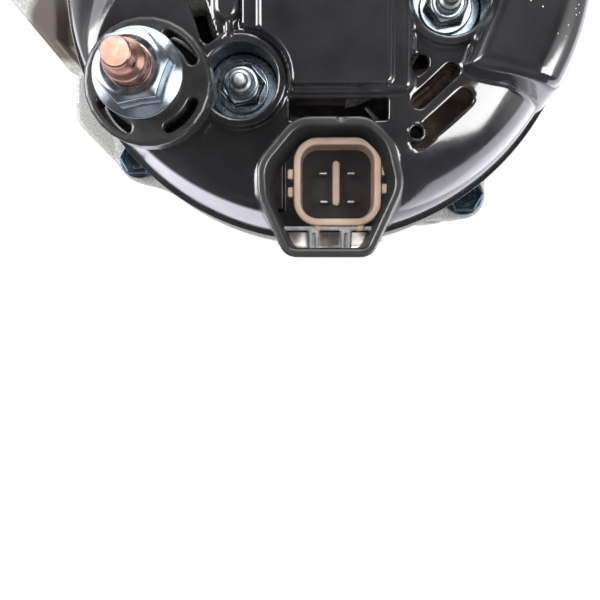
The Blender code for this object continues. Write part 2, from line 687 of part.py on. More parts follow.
def rotor():
    shaft()
    claw_pole("claw_pole_rear", CORE_REAR + 0.5, 46, 72, 0)
    claw_pole("claw_pole_front", CORE_FRONT - 0.5, 64, 38, 30)
    turned("field_coil", [(20.4, 46.5), (34, 46.5), (34, 63.5), (20.4, 63.5)], "winding", steps=28)
    fan("fan_rear", CORE_REAR + 0.2, -1)
    fan("fan_front", CORE_FRONT - 0.2, 1)


def fan(name, pole_face, heading, blades=9):
    """A sheet metal fan on the outside of a claw pole, with its blades bent away from the pole."""
    near, far = sorted((pole_face, pole_face + heading * 1.6))
    wheel = turned(name, [(9.4, near), (40, near), (40, far), (9.4, far)], "steel", steps=32)
    reach = sorted((pole_face + heading * 1.0, pole_face + heading * 12.0))
    for i in range(blades):
        x, z = polar(33.5, 360 / blades * i)
        corners = (x - 7, reach[0], z - 0.7), (x + 7, reach[1], z + 0.7)
        pitched = 360 / blades * i + 32
        join(wheel, block(f"{name}_blade_{i}", *corners, about=(x, z), degrees=pitched))


def bearing(prefix, sizes, balls):
    rear, front = sizes["rear"], sizes["front"]
    for name, near, far, steps in (("inner", "bore", "inner", 20), ("outer", "outer", "outside", 28)):
        low, high = sizes[near], sizes[far]
        race = [(low, rear), (high, rear), (high, front), (low, front)]
        turned(f"{prefix}_bearing_{name}", race, "steel", steps=steps)
    middle, centre = (rear + front) / 2, (sizes["inner"] + sizes["outer"]) / 2
    radius = (sizes["outer"] - sizes["inner"]) / 2 - 0.2
    low, high = centre - 0.7, centre + 0.7
    ring = [(low, middle - 1.4), (high, middle - 1.4), (high, middle + 1.4), (low, middle + 1.4)]
    cage = turned(f"{prefix}_bearing_balls", ring, "steel", steps=20)
    for number in range(balls):
        at = polar(centre, 360 / balls * number)
        join(cage, ball(f"{prefix}_ball_{number}", radius, middle, at))


def ball(name, radius, along, at):
    mesh = bpy.data.meshes.new(name)
    shape = bmesh.new()
    bmesh.ops.create_uvsphere(shape, u_segments=8, v_segments=4, radius=radius * MM)
    shape.to_mesh(mesh)
    shape.free()
    obj = bpy.data.objects.new(name, mesh)
    obj.location = (at[0] * MM, (LIP + along) * MM, at[1] * MM)
    return place(obj)


def pulley():
    """A belt pulley with V grooves, a hub and a dished front."""
    root = PULLEY_RADIUS - GROOVE_DEPTH
    first = (PULLEY_REAR + PULLEY_FRONT - GROOVES * GROOVE_PITCH) / 2
    profile = [(8.5, PULLEY_REAR), (PULLEY_RADIUS + 1, PULLEY_REAR), (PULLEY_RADIUS + 1, first - 0.6)]
    for i in range(GROOVES):
        start = first + GROOVE_PITCH * i
        profile += [(PULLEY_RADIUS, start + 0.3), (root, start + GROOVE_PITCH / 2)]
        profile.append((PULLEY_RADIUS, start + GROOVE_PITCH - 0.3))
    profile += [(PULLEY_RADIUS + 1, PULLEY_FRONT - 1.6), (PULLEY_RADIUS + 1, PULLEY_FRONT)]
    profile += [(21.5, PULLEY_FRONT), (19.5, 134), (14.5, 134), (14.5, 138), (8.5, 138)]
    turned("pulley", profile, "steel", steps=24)
    turned("pulley_spacer", [(8.5, 110.3), (12, 110.3), (12, 116.7), (8.5, 116.7)], "steel", steps=20)
    hexagon = circle((0, 0), 24 / math.sqrt(3), 6)
    plate("pulley_nut", [hexagon, circle((0, 0), 8.5, 20)], 138.3, 146.5, "zinc")


def main():
    start_scene()
    rear_cover()
    connector_shroud()
    battery_terminal()
    cover_fixings()
    connector()
    regulator()
    brush_gear()
    rectifier()
    rear_bracket()
    front_bracket()
    bearing_retainer()
    through_bolts()
    stator()
    rotor()
    bearing("rear", REAR_BEARING, 8)
    bearing("front", FRONT_BEARING, 7)
    pulley()


main()
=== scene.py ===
"""The looks of a car alternator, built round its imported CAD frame.

Cast and moulded pieces are shaped as signed distance fields and then meshed, so that their corners are
rounded and their walls run into each other. Turned pieces are profiles turned round an axis. Lengths are in
millimetres, and distances along the shaft are measured forwards from the lip of the rear cover, until a mesh
is made.
"""

import contextlib
import itertools
import math

import bmesh
import bpy
import numpy as np
from mathutils import Matrix, Vector


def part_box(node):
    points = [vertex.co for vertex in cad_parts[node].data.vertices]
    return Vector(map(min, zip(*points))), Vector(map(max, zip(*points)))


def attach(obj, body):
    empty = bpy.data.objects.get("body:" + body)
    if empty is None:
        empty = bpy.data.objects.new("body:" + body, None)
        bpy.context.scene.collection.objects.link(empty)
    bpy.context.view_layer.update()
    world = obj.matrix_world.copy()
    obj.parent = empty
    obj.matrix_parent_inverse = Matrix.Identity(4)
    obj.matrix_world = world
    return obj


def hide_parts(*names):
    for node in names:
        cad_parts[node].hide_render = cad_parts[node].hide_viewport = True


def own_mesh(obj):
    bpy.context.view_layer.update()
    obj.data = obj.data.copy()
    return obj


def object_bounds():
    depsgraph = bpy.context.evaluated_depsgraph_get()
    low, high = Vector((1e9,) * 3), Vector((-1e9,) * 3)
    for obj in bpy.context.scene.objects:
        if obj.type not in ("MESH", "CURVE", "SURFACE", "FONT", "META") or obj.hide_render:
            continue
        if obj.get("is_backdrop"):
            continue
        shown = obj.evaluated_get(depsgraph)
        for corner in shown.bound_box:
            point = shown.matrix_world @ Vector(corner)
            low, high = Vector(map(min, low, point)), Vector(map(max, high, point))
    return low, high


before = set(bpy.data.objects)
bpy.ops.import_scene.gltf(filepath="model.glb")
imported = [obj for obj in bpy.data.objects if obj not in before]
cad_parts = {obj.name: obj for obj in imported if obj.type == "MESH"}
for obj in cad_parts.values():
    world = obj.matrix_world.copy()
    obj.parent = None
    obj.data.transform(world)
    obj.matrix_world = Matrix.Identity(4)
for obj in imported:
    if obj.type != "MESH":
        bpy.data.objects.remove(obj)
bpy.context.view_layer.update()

MM = 0.001
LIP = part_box("rear_cover")[1].y

COVER_TOP = 54.4  # the drafted side wall's radius, where it would meet the face
DRAFT = 0.205
COVER_FACE = -22.5
WALL = 2.2
BLOCK_FACE = -26.5
HUMP_FACE = -28.0
SHROUD_CENTRE = (2.25, -48.9)
SHROUD_RIM = -33.0
SOCKET_CENTRE = (3.85, -46.3)
CABLE_TERMINAL = (-34.7, -27.7)
COVER_FIXINGS = [(-17.0, -25.8), (27.2, -8.8), (-10.3, 28.2)]
BOLT_CIRCLE = 60.0
BOLT_ANGLES = [-140, -53, 40, 127]
HINGE_LUG = (-81.0, 22.0)
ADJUST_LUG = (72.0, 21.0)
BRUSH_PLACES = (-11.5, -3.5)
RETAINER_ANGLES = (90, 210, 330)
RETAINER_CIRCLE = 27.4
GROOVES = 6
GROOVE_PITCH = 3.56


# Outlines, as lists of (x, z)


def polar(radius, degrees):
    return radius * math.cos(math.radians(degrees)), radius * math.sin(math.radians(degrees))


def arc(centre, radius, start, end, steps):
    spokes = [polar(radius, start + (end - start) * i / steps) for i in range(steps + 1)]
    return [(centre[0] + x, centre[1] + z) for x, z in spokes]


def circle(centre, radius, steps=64):
    return arc(centre, radius, 0, 360, steps)[:-1]


def sector(inner, outer, start, end, steps=24):
    return arc((0, 0), outer, start, end, steps) + arc((0, 0), inner, end, start, steps)


def curved_slot(radius, half, start, end):
    """A slot along an arc, round at both ends."""
    first, last = polar(radius, start), polar(radius, end)
    outline = arc((0, 0), radius + half, start, end, 20) + arc(last, half, end, end + 180, 8)
    outline += arc((0, 0), radius - half, end, start, 20)
    return outline + arc(first, half, start + 180, start + 360, 8)


def rounded(corners, steps=8):
    """An outline of (x, z, radius) corners, each turned as an arc of its radius."""
    outline = []
    for i, (x, z, radius) in enumerate(corners):
        if radius == 0:
            outline.append((x, z))
            continue
        corner = Vector((x, z))
        before = (Vector(corners[i - 1][:2]) - corner).normalized()
        after = (Vector(corners[(i + 1) % len(corners)][:2]) - corner).normalized()
        half = before.angle(after) / 2
        centre = corner + (before + after).normalized() * radius / math.sin(half)
        first = corner + before * radius / math.tan(half) - centre
        sweep = first.angle_signed(corner + after * radius / math.tan(half) - centre)
        outline += [tuple(centre + Matrix.Rotation(-sweep * k / steps, 2) @ first) for k in range(steps + 1)]
    return outline


def rectangle(low, high, radius):
    corners = [(low[0], low[1]), (high[0], low[1]), (high[0], high[1]), (low[0], high[1])]
    return rounded([(*corner, radius) for corner in corners])


def round_square(centre, half, radius):
    x, z = centre
    return rectangle((x - half, z - half), (x + half, z + half), radius)


def inset(outline, distance):
    """The outline moved inwards by a distance."""
    moved = []
    for before, point, after in zip(outline[-1:] + outline[:-1], outline, outline[1:] + outline[:1]):
        along = (Vector(after) - Vector(before)).normalized()
        moved.append((point[0] - along.y * distance, point[1] + along.x * distance))
    return moved


def hull(points):
    """The convex outline round a set of points."""
    points = sorted(set(points))
    ends = []
    for run in (points, points[::-1]):
        chain = []
        for point in run:
            while len(chain) > 1 and turn(chain[-2], chain[-1], point) <= 0:
                chain.pop()
            chain.append(point)
        ends += chain[:-1]
    return ends


def turn(a, b, c):
    return (b[0] - a[0]) * (c[1] - a[1]) - (b[1] - a[1]) * (c[0] - a[0])


# Distance fields. Every distance is negative inside.


def polygon(outline, x, z):
    """Distance to an outline over arrays of x and z."""
    x, z = np.broadcast_arrays(x, z)
    points = np.array(outline, np.float32)
    nearest = np.full(x.shape, 1e9, np.float32)
    inside = np.zeros(x.shape, bool)
    for (ax, az), (bx, bz) in zip(points, np.roll(points, -1, axis=0)):
        ex, ez = bx - ax, bz - az
        length = ex * ex + ez * ez
        if length < 1e-12:
            continue
        px, pz = x - ax, z - az
        share = np.clip((px * ex + pz * ez) / length, 0, 1)
        nearest = np.minimum(nearest, (px - share * ex) ** 2 + (pz - share * ez) ** 2)
        if ez:
            inside ^= ((az > z) != (bz > z)) & (x < ax + ex * (z - az) / ez)
    return np.where(inside, -1, 1) * np.sqrt(nearest)


def joined(a, b, radius):
    """Union with a fillet of this radius in the corner between them."""
    if radius <= 0:
        return np.minimum(a, b)
    corner = np.hypot(np.maximum(radius - a, 0), np.maximum(radius - b, 0))
    return np.maximum(radius, np.minimum(a, b)) - corner


def crossed(a, b, radius):
    """Intersection with its edge rounded to this radius."""
    return -joined(-a, -b, radius)


class Field:
    """A signed distance field on a grid of points."""

    def __init__(self, low, high, step):
        self.low, self.step = np.array(low, float), step
        self.lines = [np.arange(a, b + step, step, dtype=np.float32) for a, b in zip(low, high)]
        self.grid = np.full([len(line) for line in self.lines], 6.0, np.float32)

    def window(self, low, high, margin):
        picks = [
            slice(*np.searchsorted(line, (a - margin, b + margin)))
            for line, a, b in zip(self.lines, low, high)
        ]
        x, y, z = (line[pick] for line, pick in zip(self.lines, picks))
        return tuple(picks), x[:, None, None], y[None, :, None], z[None, None, :]

    def add(self, shape, low, high, blend=0.8):
        picks, *where = self.window(low, high, blend + 1)
        self.grid[picks] = joined(self.grid[picks], shape(*where), blend)

    def cut(self, shape, low, high, blend=0.5):
        picks, *where = self.window(low, high, blend + 1)
        self.grid[picks] = crossed(self.grid[picks], -shape(*where), blend)

    def put(self, shape, low, high, blend, cut):
        (self.cut if cut else self.add)(shape, low, high, blend)

    def prism(self, outline, rear, front, edge=0.6, blend=0.8, cut=False):
        """An outline between two distances along the shaft, with rounded rims."""
        points = np.array(outline)
        (x0, z0), (x1, z1) = points.min(0), points.max(0)

        def shape(x, y, z):
            return crossed(polygon(outline, x, z), np.maximum(rear - y, y - front), edge)

        self.put(shape, (x0, rear, z0), (x1, front, z1), blend, cut)

    def rod(self, at, radius, rear, front, edge=0.5, blend=0.8, cut=False):
        def shape(x, y, z):
            return crossed(np.hypot(x - at[0], z - at[1]) - radius, np.maximum(rear - y, y - front), edge)

        low, high = (at[0] - radius, rear, at[1] - radius), (at[0] + radius, front, at[1] + radius)
        self.put(shape, low, high, blend, cut)

    def box(self, low, high, edge=0.5, blend=0.8, cut=False, degrees=0.0, about=(0.0, 0.0)):
        """A box, turned about a line along the shaft."""
        c, s = math.cos(math.radians(degrees)), math.sin(math.radians(degrees))
        middle = [(a + b) / 2 for a, b in zip(low, high)]
        half = [(b - a) / 2 for a, b in zip(low, high)]

        def shape(x, y, z):
            across, up = x - about[0], z - about[1]
            u = np.abs(c * across + s * up - (middle[0] - about[0])) - half[0] + edge
            w = np.abs(c * up - s * across - (middle[2] - about[1])) - half[2] + edge
            v = np.abs(y - middle[1]) - half[1] + edge
            outside = np.sqrt(np.maximum(u, 0) ** 2 + np.maximum(v, 0) ** 2 + np.maximum(w, 0) ** 2)
            return outside + np.minimum(np.maximum(np.maximum(u, v), w), 0) - edge

        ends = []
        for x in (low[0] - about[0], high[0] - about[0]):
            for z in (low[2] - about[1], high[2] - about[1]):
                ends.append((about[0] + c * x - s * z, about[1] + s * x + c * z))
        (x0, z0), (x1, z1) = np.min(ends, axis=0), np.max(ends, axis=0)
        self.put(shape, (x0, low[1], z0), (x1, high[1], z1), blend, cut)

    def turned(self, profile, at=(0.0, 0.0), blend=0.8, cut=False, soften=0.0):
        """A profile of (radius, distance along the shaft), turned round an axis."""
        points = np.array(profile, float)
        reach = points[:, 0].max()
        spokes = np.arange(0, reach + 12, 0.15, dtype=np.float32)

        def shape(x, y, z):
            radius = np.hypot(x - at[0], z - at[1])[:, 0, :]
            table = polygon(profile, spokes[:, None], y.reshape(1, -1)) - soften
            found = np.empty((radius.shape[0], y.size, radius.shape[1]), np.float32)
            for j in range(y.size):
                found[:, j, :] = np.interp(radius, spokes, table[:, j])
            return found

        low = (at[0] - reach, points[:, 1].min(), at[1] - reach)
        high = (at[0] + reach, points[:, 1].max(), at[1] + reach)
        self.put(shape, low, high, blend, cut)

    def mesh(self, name):
        """The zero surface, one point to each cell that it passes through."""
        inside = self.grid < 0
        shape = np.array(inside.shape) - 1
        count = np.zeros(shape, np.uint8)
        corners = list(itertools.product((0, 1), repeat=3))
        for i, j, k in corners:
            count += inside[i : shape[0] + i, j : shape[1] + j, k : shape[2] + k]
        cells = np.argwhere((count > 0) & (count < 8))
        number = np.full(shape, -1, np.int32)
        number[tuple(cells.T)] = np.arange(len(cells))
        values = np.stack([self.grid[tuple((cells + corner).T)] for corner in corners], axis=1).astype(float)
        total, hits = np.zeros((len(cells), 3)), np.zeros(len(cells))
        for a, b in itertools.combinations(range(8), 2):
            heading = np.subtract(corners[b], corners[a])
            if np.abs(heading).sum() != 1:
                continue
            passes = (values[:, a] < 0) != (values[:, b] < 0)
            share = values[passes, a] / (values[passes, a] - values[passes, b])
            total[passes] += corners[a] + share[:, None] * heading
            hits += passes
        place = total / hits[:, None]
        for _ in range(3):
            value, slope = trilinear(values, corners, place)
            steep = np.maximum((slope**2).sum(axis=1), 1e-6)
            place = np.clip(place - (value / steep)[:, None] * slope, 0.02, 0.98)
        points = self.low + (cells + place) * self.step
        points[:, 1] += LIP / MM
        quads = []
        for axis in range(3):
            others = [i for i in range(3) if i != axis]
            near = [slice(None)] * 3
            far = [slice(None)] * 3
            near[axis], far[axis] = slice(0, -1), slice(1, None)
            for other in others:
                near[other] = far[other] = slice(1, -1)
            first, second = inside[tuple(near)], inside[tuple(far)]
            at = np.argwhere(first != second)
            at[:, others] += 1
            leaves = inside[tuple(at.T)]
            square = []
            for back in ((1, 1), (0, 1), (0, 0), (1, 0)):
                moved = at.copy()
                moved[:, others[0]] -= back[0]
                moved[:, others[1]] -= back[1]
                square.append(number[tuple(moved.T)])
            square = np.stack(square, axis=1)
            turned_over = leaves if axis == 1 else ~leaves
            square[turned_over] = square[turned_over, ::-1]
            quads.append(square)
        return to_mesh(name, points * MM, np.concatenate(quads))


def trilinear(values, corners, place):
    """Value and slope of a cell's corner values at a place inside the cell."""
    value, slope = np.zeros(len(place)), np.zeros((len(place), 3))
    for n, corner in enumerate(corners):
        weights = [place[:, i] if corner[i] else 1 - place[:, i] for i in range(3)]
        value += values[:, n] * weights[0] * weights[1] * weights[2]
        for i in range(3):
            j, k = (i + 1) % 3, (i + 2) % 3
            slope[:, i] += values[:, n] * (1 if corner[i] else -1) * weights[j] * weights[k]
    return value, slope


def to_mesh(name, points, faces):
    """A smooth-shaded mesh object from arrays of points in metres and quads or triangles."""
    mesh = bpy.data.meshes.new(name)
    points = np.ascontiguousarray(points, np.float32)
    sides = faces.shape[1]
    mesh.vertices.add(len(points))
    mesh.vertices.foreach_set("co", points.ravel())
    mesh.loops.add(faces.size)
    mesh.loops.foreach_set("vertex_index", faces.astype(np.int32).ravel())
    mesh.polygons.add(len(faces))
    mesh.polygons.foreach_set("loop_start", np.arange(0, faces.size, sides, dtype=np.int32))
    mesh.update(calc_edges=True)
    mesh.validate()
    obj = shade_smooth(bpy.data.objects.new(name, mesh))
    bpy.context.scene.collection.objects.link(obj)
    return obj


def grid_step(fine):
    return fine


def shade_smooth(obj):
    obj.data.polygons.foreach_set("use_smooth", np.ones(len(obj.data.polygons), bool))
    return obj


def ring_quads(rows, steps):
    """The quads between rows of points, each a closed ring of this many steps."""
    start = np.arange(rows - 1)[:, None] * steps
    first = (start + np.arange(steps)).ravel()
    second = (start + (np.arange(steps) + 1) % steps).ravel()
    return np.stack([first, second, second + steps, first + steps], axis=1)


@contextlib.contextmanager
def edited(obj):
    """The object's mesh as a bmesh, which is written back when the block ends."""
    shape = bmesh.new()
    shape.from_mesh(obj.data)
    yield shape
    shape.to_mesh(obj.data)
    shape.free()


def fill_rims(shape):
    bmesh.ops.holes_fill(shape, edges=[edge for edge in shape.edges if edge.is_boundary])


# Turned pieces


def softened(profile, radius, steps=4):
    """The profile with every corner that isn't on the axis rounded off."""
    outline = []
    for i, (r, y) in enumerate(profile):
        before = profile[i - 1]
        after = profile[(i + 1) % len(profile)]
        room = min(math.dist(before, (r, y)), math.dist(after, (r, y))) * 0.4
        a = Vector(before) - Vector((r, y))
        b = Vector(after) - Vector((r, y))
        if r == 0 or a.length < 1e-6 or b.length < 1e-6 or abs(math.pi - a.angle(b)) < 0.05:
            outline.append((r, y))
            continue
        half = a.angle(b) / 2
        reach = min(radius / math.tan(half), room)
        outline += rounded_corner((r, y), a.normalized(), b.normalized(), reach, steps)
    return outline


def rounded_corner(corner, a, b, reach, steps):
    """Points on a quadratic curve that leaves the corner's two sides this far from it."""
    corner = Vector(corner)
    start, end = corner + a * reach, corner + b * reach
    return [
        tuple(start * (1 - t) ** 2 + corner * 2 * t * (1 - t) + end * t**2)
        for t in (i / steps for i in range(steps + 1))
    ]


def turned(name, profile, at=(0.0, 0.0), steps=96, edge=0.25):
    """A profile of (radius, distance along the shaft) turned round a line along Y."""
    solid = profile[0][0] == 0
    if sum(a[0] * b[1] - b[0] * a[1] for a, b in zip(profile, profile[1:] + profile[:1])) > 0:
        profile = profile[::-1]
    if edge:
        profile = softened(profile, edge)
    profile = np.array(profile)
    turns = 2 * math.pi * np.arange(steps) / steps
    rows = len(profile)
    x = at[0] + profile[:, 0][:, None] * np.cos(turns)[None, :]
    z = at[1] + profile[:, 0][:, None] * np.sin(turns)[None, :]
    y = np.repeat((profile[:, 1] + LIP / MM)[:, None], steps, axis=1)
    points = np.stack([x, y, z], axis=2).reshape(-1, 3)
    quads = ring_quads(rows if solid else rows + 1, steps) % (rows * steps)
    obj = to_mesh(name, points * MM, quads)
    with edited(obj) as shape:
        bmesh.ops.remove_doubles(shape, verts=shape.verts, dist=1e-7)
    return obj


def duplicate(obj, name, shift):
    """A copy of a piece, moved by (x, distance along the shaft, z)."""
    made = bpy.data.objects.new(name, obj.data.copy())
    made.data.transform(Matrix.Translation([s * MM for s in shift]))
    bpy.context.scene.collection.objects.link(made)
    return made


def merged(name, pieces):
    """One object from several."""
    shape = bmesh.new()
    for piece in pieces:
        shape.from_mesh(piece.data)
        bpy.data.objects.remove(piece)
    mesh = bpy.data.meshes.new(name)
    shape.to_mesh(mesh)
    shape.free()
    obj = bpy.data.objects.new(name, mesh)
    bpy.context.scene.collection.objects.link(obj)
    return obj


def dress(obj, material, body, *nodes):
    """Give a new piece its material and its body, and hide the CAD nodes that it stands for."""
    obj.data.materials.clear()
    obj.data.materials.append(MATERIALS[material])
    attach(obj, body)
    if nodes:
        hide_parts(*nodes)
    return obj


# Materials, each built from noise over the piece's own coordinates


class Finish:
    def __init__(self, name, **constants):
        self.material = bpy.data.materials.new(name)
        self.material.use_nodes = True
        tree = self.material.node_tree
        self.nodes, self.links = tree.nodes, tree.links
        self.shader = self.nodes["Principled BSDF"]
        for socket, value in constants.items():
            self.shader.inputs[socket.replace("_", " ")].default_value = value
        self.coords = self.nodes.new("ShaderNodeTexCoord").outputs["Object"]
        self.height = None

    def near(self, place, inner, outer, coords=None):
        """1 within the inner distance of a place and 0 beyond the outer one, in metres."""
        made = self.nodes.new("ShaderNodeVectorMath")
        made.operation = "DISTANCE"
        self.links.new(coords or self.coords, made.inputs[0])
        made.inputs[1].default_value = place
        return self.ramp(made.outputs["Value"], inner, outer, 1.0, 0.0)

    def sleeve_satin(self, centre, inner, outer, rough):
        """Duller inside a column of these radii along the shaft, where the sleeve stands."""
        flat = self.node("ShaderNodeMapping", Vector=self.coords)
        flat.inputs["Scale"].default_value = (1, 0, 1)
        axis = (centre[0] * MM, 0, centre[1] * MM)
        share = self.near(axis, inner * MM, outer * MM, flat.outputs["Vector"])
        socket = self.shader.inputs["Roughness"]
        before = socket.links[0].from_socket
        self.links.new(self.math("MAXIMUM", before, self.math("MULTIPLY", share, rough)), socket)
        return self

    def node(self, kind, **inputs):
        made = self.nodes.new(kind)
        for name, value in inputs.items():
            self.feed(made.inputs[name.replace("_", " ")], value)
        return made

    def feed(self, socket, value):
        if isinstance(value, bpy.types.NodeSocket):
            self.links.new(value, socket)
        else:
            socket.default_value = value

    def noise(self, scale, detail=3.0, stretch=(1, 1, 1)):
        """Noise of this many features to the metre, drawn out along an axis where stretch is small."""
        coords = self.coords
        if stretch != (1, 1, 1):
            mapped = self.node("ShaderNodeMapping", Vector=self.coords)
            mapped.inputs["Scale"].default_value = stretch
            coords = mapped.outputs["Vector"]
        made = self.node("ShaderNodeTexNoise", Vector=coords, Scale=scale, Detail=detail, Roughness=0.55)
        return made.outputs["Fac"]

    def spots(self, scale, size, cover):
        """Small round specks, in patches that cover about this share of the surface."""
        cells = self.node("ShaderNodeTexVoronoi", Vector=self.coords, Scale=scale).outputs["Distance"]
        dots = self.ramp(cells, size, size * 0.6)
        patches = self.ramp(self.noise(90, 2.0), 1 - cover, 1.06 - cover)
        return self.math("MULTIPLY", dots, patches)

    def math(self, operation, a, b):
        made = self.nodes.new("ShaderNodeMath")
        made.operation = operation
        self.feed(made.inputs[0], a)
        self.feed(made.inputs[1], b)
        return made.outputs[0]

    def ramp(self, value, low, high, start=0.0, end=1.0):
        """The value carried from the range low to high onto the range start to end, and held at its ends."""
        made = self.node("ShaderNodeMapRange", Value=value)
        for socket, number in zip(list(made.inputs)[1:5], (low, high, start, end)):
            socket.default_value = number
        return made.outputs["Result"]

    def mix(self, factor, a, b):
        made = self.nodes.new("ShaderNodeMix")
        made.data_type = "RGBA"
        self.feed(made.inputs[0], factor)
        for socket, colour in ((made.inputs[6], a), (made.inputs[7], b)):
            self.feed(socket, (*colour, 1.0) if isinstance(colour, tuple) else colour)
        return made.outputs[2]

    def colour(self, dark, light, scale, contrast=0.16, stretch=(1, 1, 1)):
        """Colour that drifts between two shades."""
        share = self.ramp(self.noise(scale, 4.0, stretch), 0.5 - contrast, 0.5 + contrast)
        self.paint = self.mix(share, dark, light)
        self.links.new(self.paint, self.shader.inputs["Base Color"])
        return self

    def tint(self, factor, colour):
        """A second colour laid over the first where factor is 1."""
        self.paint = self.mix(factor, self.paint, colour)
        self.links.new(self.paint, self.shader.inputs["Base Color"])
        return self

    def rough(self, low, high, scale, stretch=(1, 1, 1)):
        share = self.ramp(self.noise(scale, 3.0, stretch), 0.32, 0.68, low, high)
        self.links.new(share, self.shader.inputs["Roughness"])
        return self

    def bump(self, depth, scale, detail=3.0, stretch=(1, 1, 1), height=None):
        """Relief of this many millimetres."""
        made = self.node("ShaderNodeBump", Strength=1.0, Distance=depth * MM)
        self.feed(made.inputs["Height"], self.noise(scale, detail, stretch) if height is None else height)
        if self.height:
            self.links.new(self.height, made.inputs["Normal"])
        self.height = made.outputs["Normal"]
        self.links.new(self.height, self.shader.inputs["Normal"])
        return self


